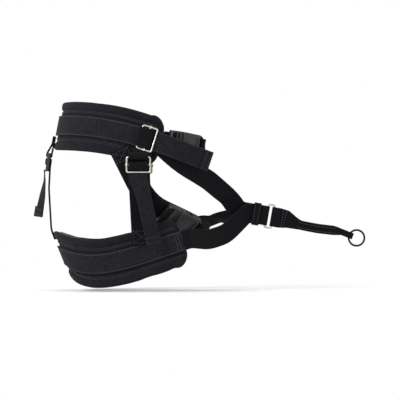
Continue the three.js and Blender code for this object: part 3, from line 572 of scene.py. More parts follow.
def stitches(name, lines, pitch=3.2, stitch=2.5, thread=0.34):
    """Raised stitches along each line of points in millimetres."""
    vertices, edges = [], []
    for line in lines:
        start = len(vertices)
        vertices += [tuple(vec(p) * MM) for p in line]
        edges += [(start + i, start + i + 1) for i in range(len(line) - 1)]
    mesh = bpy.data.meshes.new(name)
    mesh.from_pydata(vertices, edges, [])
    source = bpy.data.objects.new(name + "_lines", mesh)
    bpy.context.scene.collection.objects.link(source)
    run = source.modifiers.new("stitches", "NODES")
    run.node_group = STITCH_RUN
    values = {"Pitch": pitch * MM, "Stitch": stitch * MM, "Thread": thread * MM, "Finish": THREAD}
    for item in STITCH_RUN.interface.items_tree:
        if item.item_type == "SOCKET" and item.in_out == "INPUT" and item.name in values:
            run[item.identifier] = values[item.name]
    bpy.context.view_layer.update()
    graph = bpy.context.evaluated_depsgraph_get()
    result = bpy.data.meshes.new_from_object(source.evaluated_get(graph), depsgraph=graph)
    bpy.data.objects.remove(source)
    for polygon in result.polygons:
        polygon.use_smooth = True
    made = bpy.data.objects.new(name, result)
    bpy.context.scene.collection.objects.link(made)
    return made


def seam(path, n, w, start=0.0, end=None, step=2.0):
    """A line of points along a strap, w across it and n off its middle."""
    end = path.length if end is None else end
    count = max(2, int(abs(end - start) / step) + 1)
    return [path.point(s, w, n) for s in np.linspace(start, end, count)]


def boxed(path, n, start, end, half):
    """The sewn box and cross that hold a strap's end down."""
    at = lambda s, w: path.point(s, w, n)
    corners = [(start, -half), (end, -half), (end, half), (start, half), (start, -half)]
    lines = [[at(*a), at(*b)] for a, b in zip(corners, corners[1:])]
    return lines + [[at(start, -half), at(end, half)], [at(start, half), at(end, -half)]]


# ---- the padded bands ----
ROLL_SEAM = 19.3  # the sewn line between a band's edge roll and its gathered strip
STRIP_SEAM = 13.1  # the sewn line beside the webbing


def band_shares(band, count):
    length = BandPath(band, 0, [0, 1]).middle_length
    near = [d / length for d in (0, 0.5, 1.6, 3.2, 5.2, 7.8, 10.4)]
    inner = np.linspace(13 / length, 1 - 13 / length, count)
    return near + list(inner) + [1 - t for t in near[::-1]], length


def pad_section():
    """Points round the pad's section, and how firmly each is sewn down."""
    outer = [(-31, 0, 0), (-30.6, 1.9, 0), (-29.2, 3.3, 0), (-27.4, 4.0, 0), (-25, 4.1, 0),
             (-22.6, 3.7, 0), (-20.6, 2.7, 0.4), (-ROLL_SEAM, 1.7, 1), (-18.2, 2.6, 0.3),
             (-16.2, 3.1, 0), (-14.4, 2.9, 0.3), (-STRIP_SEAM, 2.2, 1), (-11.6, 3.0, 0.8),
             (-6, 3.5, 0.7), (0, 3.6, 0.7)]
    inner = [(31, 0, 0), (30.4, -2.1, 0), (28.6, -3.4, 0), (26, -3.9, 0), (22.6, -3.7, 0),
             (ROLL_SEAM, -2.9, 1), (16, -3.6, 0.2), (STRIP_SEAM, -3.0, 1), (6.5, -3.8, 0.2),
             (0, -3.8, 0.2)]
    front = outer + [(-w, n, hold) for w, n, hold in outer[-2::-1]]
    back = inner[1:] + [(-w, n, hold) for w, n, hold in inner[-2:0:-1]]
    return front + back


def inflate(piece, hold, swell, cap, scale=5.0):
    """Blows the padding up between its sewn lines, then sets the result in the mesh."""
    mesh = piece.data
    rest = np.empty(len(mesh.vertices) * 3)
    mesh.vertices.foreach_get("co", rest)
    rest = rest.reshape(-1, 3)
    mesh.vertices.foreach_set("co", (rest * scale).ravel())
    group = piece.vertex_groups.new(name="sewn")
    for i, firm in enumerate(hold):
        if firm > 0:
            group.add([i], float(firm), "REPLACE")
    cloth = piece.modifiers.new("padding", "CLOTH")
    set_up = cloth.settings
    set_up.quality = 6
    set_up.mass = 0.3
    set_up.tension_stiffness = set_up.compression_stiffness = 25
    set_up.shear_stiffness = 10
    set_up.bending_stiffness = 0.8
    set_up.use_pressure = True
    set_up.uniform_pressure_force = swell
    set_up.shrink_min = -0.035
    set_up.vertex_group_mass = "sewn"
    set_up.pin_stiffness = 4
    set_up.effector_weights.gravity = 0
    scene = bpy.context.scene
    scene.frame_start, scene.frame_end = 1, 20
    cloth.point_cache.frame_start, cloth.point_cache.frame_end = 1, 20
    for step in range(1, 21):
        scene.frame_set(step)
    graph = bpy.context.evaluated_depsgraph_get()
    blown = piece.evaluated_get(graph).to_mesh()
    after = np.empty(len(blown.vertices) * 3)
    blown.vertices.foreach_get("co", after)
    move = after.reshape(-1, 3) / scale - rest
    piece.evaluated_get(graph).to_mesh_clear()
    piece.modifiers.clear()
    piece.vertex_groups.clear()
    scene.frame_set(1)
    far = np.linalg.norm(move, axis=1, keepdims=True)
    move *= np.minimum(1, cap * MM / np.maximum(far, 1e-9))
    mesh.vertices.foreach_set("co", (rest + move).ravel())
    mesh.update()


def gather(s, w, seed):
    """The small puckers beside a sewn line, in millimetres off the face."""
    a = math.sin(s * 2 * math.pi / 6.3 + 1.7 * seed + 1.3 * math.sin(s / 17 + seed))
    b = math.sin(s * 2 * math.pi / 9.7 + 0.35 * w + 2.9 * seed)
    return 0.42 * a * (0.6 + 0.4 * b) + 0.18 * b


def padded_band(name, band, body="halter"):
    shares, _ = band_shares(band, 120)
    path = BandPath(band, 0, shares)
    section = pad_section()
    sides, count = len(section), len(path.at)
    scale = []
    for s in path.s:
        from_end = min(s, path.length - s)
        short = PAD_END_ROUND * (1 - math.sqrt(max(0, 1 - (1 - min(1, from_end / PAD_END_ROUND)) ** 2)))
        thin = 1.0 if from_end > 2.4 else 0.5 + 0.5 * math.sqrt(from_end / 2.4)
        scale.append((thin, 1 - 2 * short / PAD_HEIGHT))
    piece = swept(name, path, [(n, w) for w, n, _ in section], PAD_CLOTH, scale=scale)
    ends = {0, 1, count - 2, count - 1}
    hold = [max(h, 0.9 if i in ends else 0) for i in range(count) for _, _, h in section]
    inflate(piece, hold, swell=3.5, cap=1.2)
    mesh = piece.data
    co = np.empty(len(mesh.vertices) * 3)
    mesh.vertices.foreach_get("co", co)
    co = co.reshape(-1, 3) / MM
    for i in range(count):
        for j, (w, n, _) in enumerate(section):
            k = i * sides + j
            out = np.dot(co[k] - path.at[i], path.through[i])
            beside = max(0.0, 1 - abs(abs(w) - 16.2) / 3.2)
            roll = max(0.0, 1 - abs(abs(w) - 21.4) / 2.6)
            if n > 0:
                target = out + (beside + 0.45 * roll) * gather(path.s[i], w, (w > 0) + 3 * len(name))
                highest = 3.9 if abs(w) < 13.6 else 4.75
                target = min(target, highest * scale[i][0] ** 0.5)
            else:
                target = max(out, -4.15)
            co[k] += (target - out) * path.through[i]
    mesh.vertices.foreach_set("co", (co * MM).ravel())
    mesh.update()
    smooth = piece.modifiers.new("smooth", "SUBSURF")
    smooth.levels = smooth.render_levels = 1
    bpy.context.view_layer.update()
    graph = bpy.context.evaluated_depsgraph_get()
    fine = bpy.data.meshes.new_from_object(piece.evaluated_get(graph), depsgraph=graph)
    piece.modifiers.clear()
    piece.data = fine
    for polygon in fine.polygons:
        polygon.use_smooth = True
    belongs(piece, body, "pad_fabric", name)
    trim = path.length - 7
    rows = [seam(path, n, side * w, 6, trim, 3) for side in (-1, 1)
            for w, n in ((ROLL_SEAM, 2.25), (ROLL_SEAM - 1.9, 3.0))]
    belongs(stitches(name + "_seam_stitches", rows), body, "pad_fabric")
    return path


def band_strip(name, band):
    length = BandPath(band, 0, [0, 1]).middle_length
    path = BandPath(band, STRIP_OFFSET, [0] + list(np.linspace(1.5 / length, 1 - 1.5 / length, 150)) + [1])
    piece = swept(name + "_pad_webbing_piece", path, webbing_section(WEB_WIDTH, WEB_THICK), PAD_WEBBING)
    belongs(piece, "halter", "webbing", name + "_pad_webbing")
    top = WEB_THICK / 2 + 0.1
    rows = [seam(path, top, side * 11.2, 2, path.length - 2, 3) for side in (-1, 1)]
    for s in (5, 8.5, path.length - 8.5, path.length - 5):
        rows.append([path.point(s, w, top) for w in (-10, 0, 10)])
    belongs(stitches(name + "_webbing_stitches", rows), "halter", "webbing")


def band_lining(name, band):
    length = BandPath(band, 0, [0, 1]).middle_length
    edge = 13 / length
    path = BandPath(band, -(PAD_FACE + GAP + LINING_THICK / 2), np.linspace(edge, 1 - edge, 110))
    half, t = (PAD_HEIGHT - 2 * PAD_ROUND) / 2, LINING_THICK / 2
    front = [(-t, half - 0.4), (-t, 20), (-t * 0.4, ROLL_SEAM), (-t, 18), (-t, 14.4), (-t * 0.4, STRIP_SEAM),
             (-t, 11.8), (-t, 0)]
    inner = front + [(n, -w) for n, w in front[-2::-1]]
    outer = [(t * 0.3, -half), (t, -half + 1), (t, 0), (t, half - 1), (t * 0.3, half)]
    section = [(n, w) for n, w in outer] + inner
    piece = swept(name + "_pad_lining_piece", path, section, LINING)
    belongs(piece, "halter", "lining_fabric", name + "_pad_lining")
    rows = [seam(path, -t * 0.75, side * w, 1, path.length - 1, 3) for side in (-1, 1)
            for w in (ROLL_SEAM, STRIP_SEAM)]
    belongs(stitches(name + "_lining_stitches", rows), "halter", "lining_fabric")


for name, band in (("upper", UPPER), ("lower", LOWER)):
    padded_band(name + "_pad", band)
    band_strip(name, band)
    band_lining(name, band)


# ---- bent wire ----
def rounded_loop(corners, bend, steps=7):
    """A closed line through straight sides and rounded corners."""
    points = []
    count = len(corners)
    for i in range(count):
        before, here, after = vec(corners[i - 1]), vec(corners[i]), vec(corners[(i + 1) % count])
        enter, leave = here + unit(before - here) * bend, here + unit(after - here) * bend
        for t in np.linspace(0, 1, steps):
            points.append((1 - t) ** 2 * enter + 2 * t * (1 - t) * here + t * t * leave)
    return points


def rod(name, points, radius, finish, closed=False, sides=14):
    """A round wire through points, its ends rounded over."""
    points = [vec(p) for p in points]
    count = len(points)
    vertices, faces = [], []
    normal = None
    rings = []
    for i, p in enumerate(points):
        ahead = points[(i + 1) % count] if closed or i < count - 1 else p
        behind = points[i - 1] if closed or i else p
        along = unit(ahead - behind)
        if normal is None:
            normal = unit(np.cross(along, (0.31, 0.87, 0.39)))
        normal = unit(normal - np.dot(normal, along) * along)
        rings.append((p, along, normal, np.cross(along, normal), radius))
    if not closed:
        for end, sign in ((0, -1), (-1, 1)):
            p, along, n, b, r = rings[end]
            caps = [(p + sign * along * r * math.sin(a), along, n, b, r * math.cos(a))
                    for a in (0.5, 1.0, 1.4)]
            rings = caps[::-1] + rings if sign < 0 else rings + caps
    for p, _, n, b, r in rings:
        vertices += [p + r * (math.cos(a) * n + math.sin(a) * b)
                     for a in np.arange(sides) * 2 * math.pi / sides]
    total = len(rings)
    for i in range(total if closed else total - 1):
        a, c = i * sides, ((i + 1) % total) * sides
        faces += [(a + j, a + (j + 1) % sides, c + (j + 1) % sides, c + j) for j in range(sides)]
    if closed:
        # the last ring meets the first with the turn the frame has made on the way round
        first, last = rings[0], rings[-1]
        carried = unit(last[2] - np.dot(last[2], first[1]) * first[1])
        angle = math.atan2(np.dot(carried, first[3]), np.dot(carried, first[2]))
        shift = round(angle / (2 * math.pi / sides)) % sides
        faces = faces[:-sides]
        a = (total - 1) * sides
        faces += [(a + j, a + (j + 1) % sides, (j + 1 + shift) % sides, (j + shift) % sides)
                  for j in range(sides)]
    else:
        faces += [tuple(range(sides))[::-1], tuple((total - 1) * sides + j for j in range(sides))]
    piece = new_piece(name, vertices, faces, finish)
    for polygon in piece.data.polygons:
        polygon.use_smooth = True
    return piece


def eye(name, centre, axis, toward, inside, radius, finish):
    """A small wire eye closed round another wire."""
    side = unit(np.cross(axis, toward))
    points = [centre + inside * (math.cos(a) * toward + math.sin(a) * side)
              for a in np.arange(16) * 2 * math.pi / 16]
    return rod(name, points, radius, finish, closed=True, sides=8)


def wire_slider(name, spot):
    """A rounded wire frame whose middle bar is looped round its two sides."""
    b = BAR_HALF
    frame_wire = rod(name + "_frame", rounded_loop(
        [spot.at(-BAR_PITCH, -b), spot.at(BAR_PITCH, -b), spot.at(BAR_PITCH, b), spot.at(-BAR_PITCH, b)],
        2.6), WIRE_RADIUS, NICKEL, closed=True)
    parts = [frame_wire, rod(name + "_bar", [spot.at(0, -b + 1.3), spot.at(0, 0), spot.at(0, b - 1.3)],
                             WIRE_RADIUS * 0.92, NICKEL)]
    for side in (-1, 1):
        for u in (-1.15, 0, 1.15):
            parts.append(eye(name + "_eye", spot.at(u, side * b), spot.along, spot.across,
                             1.62, 0.58, NICKEL))
    return joined(name, parts)


def both_sides(name, piece, slot, node, bodies=("halter", "halter")):
    """The right-hand piece and its mirror image, each standing for its own solid."""
    left = mirrored(piece, "left_" + name)
    piece.name = "right_" + name
    for side, made, body in (("right_", piece, bodies[0]), ("left_", left, bodies[1])):
        belongs(made, body, slot, *([side + node] if node else []))
    return piece, left


# ---- side straps ----
SIDE_X = 10.5
SIDE_UNDER = PLY + 0.7
SIDE_Y = -(UPPER["half"] + PAD_FACE) - SIDE_UNDER - SLIDER_STANDOFF
SIDE_DROP = 4.8  # from the upper band's edge to the slider's middle
SIDE_Z = height_at(UPPER["profile"], SIDE_X) - PAD_HEIGHT / 2 - SIDE_DROP
side_spot = Spot((SIDE_X, SIDE_Y, SIDE_Z), (0, 0, -1), (1, 0, 0))
ACROSS_X = side_spot.across
on_side = lambda u, h, bend=25: corner(side_spot.at(u, 0, h), ACROSS_X, bend)
both_sides("side_slider_wire", wire_slider("side_slider_wire", side_spot), "nickel_wire", "side_slider")

face_h = GAP + WEB_THICK / 2 - SLIDER_STANDOFF
loop, _ = webbing("side_loop_piece", [
    on_side(-BAR_PITCH - 5.5, face_h), on_side(-BAR_PITCH - 3, -BIGHT, 4),
    on_side(-BAR_PITCH + BIGHT, -BIGHT, BIGHT), on_side(-BAR_PITCH + BIGHT, BIGHT, BIGHT),
    on_side(-BAR_PITCH - 3, BIGHT, 4), on_side(-BAR_PITCH - 5.5, face_h + PLY)])
both_sides("side_loop_piece", loop, "webbing", "side_loop")

foot_x, foot_y = SIDE_X + 3.5, -(LOWER["half"] + PAD_FACE) - GAP - WEB_THICK / 2
strap, strap_path = webbing("side_strap_piece", [
    on_side(BAR_PITCH + 1, -UNDER_BAR), on_side(BAR_PITCH - 2, -UNDER_BAR, 3), on_side(BIGHT, BIGHT, 3),
    on_side(-BIGHT, BIGHT, BIGHT), on_side(-BIGHT, -BIGHT, BIGHT), on_side(0.4 * BIGHT, -BIGHT, 3),
    on_side(BAR_PITCH - 3.4, -BIGHT - PLY - 0.1, 3), on_side(BAR_PITCH + 6, -BIGHT - PLY - 0.1, 20),
    corner((foot_x, foot_y - PLY - 0.4, -44), ACROSS_X, 40),
    corner((foot_x + 0.6, foot_y - PLY - 0.4, -62), ACROSS_X)])
both_sides("side_strap_piece", strap, "webbing", "side_strap")
both_sides("side_strap_stitches", stitches(
    "side_strap_stitches", boxed(strap_path, -WEB_THICK / 2 - 0.1, -17, -2, 9.5)), "webbing", None)


def hemmed(corners, rise):
    """The corners of a loose tail whose end is folded back on itself on its outer side."""
    end, before = corners[-1][0], corners[-2][0]
    along = unit(end - before)
    across = corners[-1][1]
    across = unit(across - np.dot(across, along) * along)
    off = np.cross(along, across) * rise
    last = (corners[-1][0], corners[-1][1], 0.9, 1.0)
    fold = WEB_THICK + 0.15
    return corners[:-1] + [last, (end + off * fold, across, 0.9, 1.0),
                           (end + off * fold - along * HEM, across, 5, 1.0)]


def tail_stitches(path, off):
    """Two rows across the hem."""
    return [[path.point(s, w, off) for w in (-9.5, -3, 3, 9.5)] for s in (-3, -9.5)]


tail, tail_path = webbing("side_tail_piece", hemmed([
    on_side(BAR_PITCH + 1.15, -UNDER_BAR), corner(side_spot.at(BAR_PITCH + 9, 0, -BIGHT + 1), ACROSS_X, 30),
    corner(side_spot.at(BAR_PITCH + 30, 7, 6.5), (1, 0.64, 0), 60),
    corner(side_spot.at(BAR_PITCH + 91, 20, 8), (1, 0.8, 0.1))], 1), LIT_TAIL_WEBBING, WEB_WIDTH * 0.9)
SIDE_HINGE = side_spot.at(BAR_PITCH + TAIL_START - 0.2, 0, -UNDER_BAR)


def loose_tails(name, piece, path, node, hinge, ahead, off):
    """A tail on each side, with its hem sewn."""
    sewn = stitches(name + "_stitches", tail_stitches(path, off))
    for side, made, thread in (("right_", piece, sewn),
                               ("left_", mirrored(piece, "left_" + name), mirrored(sewn, "left_" + name + "_stitches"))):
        flip = vec((1, 1, 1)) if side == "right_" else vec((1, -1, 1))
        made.name, thread.name = side + name, side + name + "_stitches"
        start, end = (hinge - ahead * 0.6) * flip * MM, (hinge + ahead * 9) * flip * MM
        side + node
        tuple(start)
        tuple(end)
        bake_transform(made)
        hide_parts(side + node)
        belongs(thread, side + node, "webbing")


loose_tails("side_tail_piece", tail, tail_path, "side_tail", SIDE_HINGE, side_spot.along,
            WEB_THICK / 2 + 0.1)

# ---- rear strap and its adjuster ----
LOCK_PITCH, LOCK_BAR = 8.5, 1.9
LOCK_BIGHT = LOCK_BAR + GAP + WEB_THICK / 2
LOCK_BEND = GAP + WEB_THICK / 2 + 0.1
REAR_LIFT = 0.7
REAR_DROP = 13  # from the upper band's edge to the adjuster's middle
rear_spot = Spot((UPPER["rear"] - PAD_FACE - 13, 0, UPPER["profile"][0][1] - PAD_HEIGHT / 2 - REAR_DROP),
                 (-0.13, 0, -0.99), (0, -1, 0))
ACROSS_Y = rear_spot.across
on_rear = lambda u, h, bend=25: corner(rear_spot.at(u, 0, h), ACROSS_Y, bend)
upper_back, lower_back = BandPath(UPPER, PAD_FACE, [0.499, 0.5]), BandPath(LOWER, PAD_FACE, [0.499, 0.5])
on_upper = lambda v, extra, bend=25: corner(
    upper_back.at[1] + upper_back.across[1] * v + upper_back.through[1] * extra, ACROSS_Y, bend)
on_lower = lambda v, extra, bend=25: corner(
    lower_back.at[1] + lower_back.across[1] * v + lower_back.through[1] * extra, ACROSS_Y, bend)
lift = REAR_LIFT + GAP + WEB_THICK / 2
rear_loop, _ = webbing("rear_loop_piece", [
    on_upper(-14, lift), on_upper(-24, lift, 10), on_rear(-LOCK_PITCH - 1.5, -LOCK_BIGHT, 3),
    on_rear(-LOCK_PITCH + LOCK_BIGHT, -LOCK_BIGHT, LOCK_BEND),
    on_rear(-LOCK_PITCH + LOCK_BIGHT, LOCK_BIGHT, LOCK_BEND), on_rear(-LOCK_PITCH - 1.5, LOCK_BIGHT, 3),
    on_upper(-24, lift + PLY, 10), on_upper(-14, lift + PLY)])
belongs(rear_loop, "halter", "webbing", "rear_loop")
rear_strap, rear_path = webbing("rear_strap_piece", [
    on_rear(LOCK_PITCH - 3.5, LOCK_BIGHT - 1), on_rear(LOCK_BIGHT * 0.8, LOCK_BIGHT, 3),
    on_rear(-LOCK_BIGHT, LOCK_BIGHT, LOCK_BEND), on_rear(-LOCK_BIGHT, -LOCK_BIGHT, LOCK_BEND),
    on_rear(LOCK_PITCH, -LOCK_BIGHT, 6), corner((-104.5, 0, 8), ACROSS_Y, 60),
    on_lower(PAD_HEIGHT / 2 + 3, GAP + WEB_THICK / 2, 30),
    on_lower(PAD_HEIGHT / 2 - 10, GAP + WEB_THICK / 2)])
belongs(rear_strap, "halter", "webbing", "rear_strap")
rear_tail, rear_tail_path = webbing("rear_tail_piece", hemmed([
    on_rear(LOCK_PITCH + LOCK_BAR + 1.0, LOCK_BIGHT + 0.6), corner((-110, 0, 18), (0.1, -1, 0), 30),
    corner((-113, 0.6, -2), (0.35, -1, 0), 40), corner((-117.5, 1.5, -27), (0.5, -1, 0))], 1),
    LIT_TAIL_WEBBING, WEB_WIDTH * 0.92)
hinge = rear_spot.at(LOCK_PITCH + LOCK_BAR + 1.0, 0, LOCK_BIGHT + 0.6)
tuple((hinge - rear_spot.along * 0.6) * MM)
tuple((hinge + rear_spot.along * 9) * MM)
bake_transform(rear_tail)
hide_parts("rear_tail")
belongs(stitches("rear_tail_stitches", tail_stitches(rear_tail_path, WEB_THICK / 2 + 0.1)),
        "rear_tail", "webbing")

# ---- pull straps ----
stub = Spot((139, 0, -20.5), (0.985, 0, -0.17), (0, 0, 1))
STUB_LENGTH = 33
in_stub = lambda u, layer, bend=25: corner(stub.at(u, 0, layer * PLY), stub.across, bend)
pull_end = BandPath(UPPER, STRIP_OFFSET + WEB_THICK / 2, [0.049, 0.05])
pull_spot = Spot(pull_end.at[1] + pull_end.through[1] * (SLIDER_STANDOFF + PLY * 0.7),
                 (0.95, 0.03, -0.3), (0.3, 0, 0.95))
on_pull = lambda u, h, bend=25: corner(pull_spot.at(u, 0, h), pull_spot.across, bend)
both_sides("pull_slider_wire", wire_slider("pull_slider_wire", pull_spot), "nickel_wire", "pull_slider")
pull, _ = webbing("upper_pull_piece", [
    on_pull(BAR_PITCH + 1, -UNDER_BAR), on_pull(BAR_PITCH - 2, -UNDER_BAR, 3), on_pull(BIGHT, BIGHT, 3),
    on_pull(-BAR_PITCH - BIGHT, BIGHT, BIGHT), on_pull(-BAR_PITCH - BIGHT, -BIGHT, BIGHT),
    on_pull(0, -BIGHT, 6), on_pull(BAR_PITCH - 3.4, -BIGHT - PLY - 0.1, 4),
    on_pull(BAR_PITCH + 3, -BIGHT - PLY - 0.1, 20),
    corner((62, -(UPPER["half"] - 1.5), 41), (0.5, -0.1, 0.86), 60),
    corner((98, -42, 19), (0.5, -0.1, 0.86), 80), corner((124, -12.5, -3), (0.45, -0.5, 0.75), 40),
    in_stub(-2, 0.5, 14), in_stub(STUB_LENGTH - 6, 0.5)])
both_sides("upper_pull_piece", pull, "webbing", "upper_pull_strap")
pull_tail, pull_tail_path = webbing("pull_tail_piece", hemmed([
    on_pull(BAR_PITCH + 1.15, -UNDER_BAR),
    corner((50, -(UPPER["half"] + 13), 60.5), (0.3, -0.05, 0.95), 60),
    corner((70, -(UPPER["half"] + 6), 53), (0.33, -0.05, 0.93), 60),
    corner((99.5, -62, 42), (0.3, 0, 0.95))], 1), LIT_TAIL_WEBBING)
loose_tails("pull_tail_piece", pull_tail, pull_tail_path, "pull_tail",
            pull_spot.at(BAR_PITCH + TAIL_START - 0.2, 0, -UNDER_BAR), pull_spot.along, WEB_THICK / 2 + 0.1)

low_end = BandPath(LOWER, STRIP_OFFSET, [0, 0.001])
low_start = low_end.at[0] - low_end.along[0] * (GAP + 0.2)
low_near = low_end.at[0] - low_end.along[0] * 9
low_across = low_end.across[0]
FLIP = vec((1, -1, 1))
right_low, _ = webbing("right_lower_pull_piece", [
    corner(low_start, low_across), corner(low_near, low_across, 25),
    corner((98, -49, -56.5), (-0.25, -0.1, 0.96), 70), corner((121, -25, -49), (-0.3, -0.1, 0.93), 50),
    corner((134, -15, -36), (-0.1, 0, 0.98), 30), in_stub(10, 2, 12), in_stub(STUB_LENGTH - 8, 1.5)])
belongs(right_low, "halter", "webbing", "right_lower_pull_strap")
left_low, _ = webbing("left_lower_pull_piece", [
    corner(low_start * FLIP, low_across * FLIP), corner(low_near * FLIP, low_across * FLIP, 25),
    corner((88, 57, -34), (0.2, -0.75, 0.6), 50), corner((108, 41, -30.5), (0, -0.95, 0.3), 60),
    corner((128, 20.5, -29), (-0.2, -0.6, 0.75), 30), in_stub(10, -1.7, 12), in_stub(STUB_LENGTH - 8, -1.5)])
belongs(left_low, "halter", "webbing", "left_lower_pull_strap")

# ---- the stub, its keeper and the rectangular ring ----
stub_layers = 2 * PLY + GAP
outer_layer = (stub_layers + WEB_THICK / 2) / PLY
wrap, _ = webbing("junction_loop_piece", [
    in_stub(17, outer_layer), in_stub(STUB_LENGTH - 7, outer_layer, 6),
    corner(stub.at(STUB_LENGTH - 1.5, 0, BIGHT), stub.across, 6),
    corner(stub.at(STUB_LENGTH + BIGHT, 0, BIGHT), stub.across, BIGHT),
    corner(stub.at(STUB_LENGTH + BIGHT, 0, -BIGHT), stub.across, BIGHT),
    corner(stub.at(STUB_LENGTH - 1.5, 0, -BIGHT), stub.across, 6),
    in_stub(STUB_LENGTH - 7, -outer_layer, 6), in_stub(17, -outer_layer)])
belongs(wrap, "halter", "webbing", "junction_loop")

keeper_out = stub_layers + PLY + GAP + WEB_THICK / 2
keeper_up = WEB_WIDTH / 2 + GAP + 0.8
keeper_line = rounded_loop([stub.at(STUB_LENGTH - 12.5, v, h) for v, h in (
    (-keeper_up, -keeper_out), (keeper_up, -keeper_out), (keeper_up, keeper_out), (-keeper_up, keeper_out))],
    1.6, 5)


def flat_band(name, line, width_way, width, thick, finish):
    """A closed band of webbing standing on its edge round something."""
    line = [vec(p) for p in line]
    centre = np.mean(line, axis=0)
    vertices, faces, uv = [], [], []
    section = [(n * thick, w * width / 2) for w, n in (
        (-1, 0.2), (-0.92, 0.5), (0, 0.5), (0.92, 0.5), (1, 0.2), (1, -0.2), (0.92, -0.5), (0, -0.5),
        (-0.92, -0.5), (-1, -0.2))]
    run = 0.0
    for i, p in enumerate(line):
        along = unit(line[(i + 1) % len(line)] - line[i - 1])
        out = unit(np.cross(width_way, along))
        if np.dot(out, p - centre) < 0:
            out = -out
        run += np.linalg.norm(p - line[i - 1])
        for n, w in section:
            vertices.append(p + n * out + w * width_way)
            uv.append((run, w))
    k, count = len(section), len(line)
    for i in range(count):
        a, b = i * k, ((i + 1) % count) * k
        faces += [(a + j, a + (j + 1) % k, b + (j + 1) % k, b + j) for j in range(k)]
    piece = new_piece(name, vertices, faces, finish, uv)
    shell = bmesh.new()
    shell.from_mesh(piece.data)
    bmesh.ops.recalc_face_normals(shell, faces=shell.faces)
    shell.to_mesh(piece.data)
    shell.free()
    return piece


belongs(flat_band("junction_keeper_piece", keeper_line, stub.along, 9, WEB_THICK, STRAP_WEBBING),
        "halter", "webbing", "junction_keeper")
over = keeper_out + WEB_THICK / 2 + 0.12
belongs(stitches("junction_stitches", [
    [stub.at(u, v, side * over) for v in (-10, 0, 10)]
    for side in (-1, 1) for u in (STUB_LENGTH - 15.5, STUB_LENGTH - 9.5)]), "halter", "webbing")
b = BAR_HALF
belongs(rod("square_ring_wire", rounded_loop([
    stub.at(STUB_LENGTH, -b), stub.at(STUB_LENGTH + RECT_RING_REACH, -b),
    stub.at(STUB_LENGTH + RECT_RING_REACH, b), stub.at(STUB_LENGTH, b)], 2.6),
    WIRE_RADIUS, NICKEL, closed=True), "square_ring", "nickel_wire", "square_ring")

# ---- the leading strap and its ring ----
lead_spot = Spot(stub.at(STUB_LENGTH + RECT_RING_REACH, 0), (0.985, 0, -0.17), (0, 0, 1))
on_lead = lambda u, h, bend=25, wide=1.0: corner(lead_spot.at(u, 0, h), lead_spot.across, bend, wide)
ring_centre = vec((286.5, 0, -54.4))
ring_spot = Spot(ring_centre - unit(vec((0.93, 0, -0.37))) * RING_RADIUS, (0.93, 0, -0.37), (0.37, 0, 0.93))
on_ring = lambda u, h, bend=25, wide=1.0: corner(ring_spot.at(u, 0, h), ring_spot.across, bend, wide)
RING_BIGHT = RING_WIRE + 1.1 + GAP + WEB_THICK / 2
loop_share, fold_share = LEAD_LOOP_WIDTH / WEB_WIDTH, LEAD_WIDTH / WEB_WIDTH
LEAD_THICK = 2 * WEB_THICK + 1.2
first, _ = webbing("lead_first", [
    on_lead(9, BIGHT * 0.5), on_lead(4, BIGHT, 5), on_lead(-BIGHT, BIGHT, BIGHT),
    on_lead(-BIGHT, -BIGHT, BIGHT), on_lead(4, -BIGHT, 5), on_lead(9, -BIGHT * 0.5)])
folded = [corner((x, 0, z), (0.15, -0.25 * k, 1), 60, fold_share)
          for (x, z), k in zip(((213, -38), (237, -42.5), (258, -45)), (0.4, 1, 0.4))]
middle, lead_path = webbing("lead_middle", [
    on_lead(8, 0), on_lead(16, 0, 30, 0.92), *folded, on_ring(-10, 0, 20, loop_share),
    on_ring(-7.5, 0, 20, loop_share)], thick=LEAD_THICK, groove=0.22)
last, _ = webbing("lead_last", [
    on_ring(-8.5, RING_BIGHT * 0.42, 1, loop_share), on_ring(-3.5, RING_BIGHT, 3, loop_share),
    on_ring(RING_BIGHT + 0.8, RING_BIGHT, RING_BIGHT, loop_share),
    on_ring(RING_BIGHT + 0.8, -RING_BIGHT, RING_BIGHT, loop_share),
    on_ring(-3.5, -RING_BIGHT, 3, loop_share), on_ring(-8.5, -RING_BIGHT * 0.42, 1, loop_share)])
belongs(joined("lead_strap_piece", [first, middle, last]), "lead_strap", "webbing", "lead_strap")
n_top = LEAD_THICK / 2 + 0.1
belongs(stitches("lead_stitches", [
    *[[lead_path.point(s, w, side * n_top) for w in (-9, 0, 9)] for s in (3.5, 7) for side in (-1, 1)],
    *[seam(lead_path, side * n_top * 0.98, row, 26, lead_path.length - 12, 2) for row in (-3.2, 3.2)
      for side in (-1, 1)]]), "lead_strap", "webbing")
turn_steps = np.arange(48) * 2 * math.pi / 48
belongs(rod("lead_ring_wire", [ring_centre + RING_RADIUS * vec((math.cos(a), 0, math.sin(a))) for a in turn_steps],
            RING_WIRE, RING_BLACK, closed=True, sides=16), "lead_ring", "ring_steel", "lead_ring")


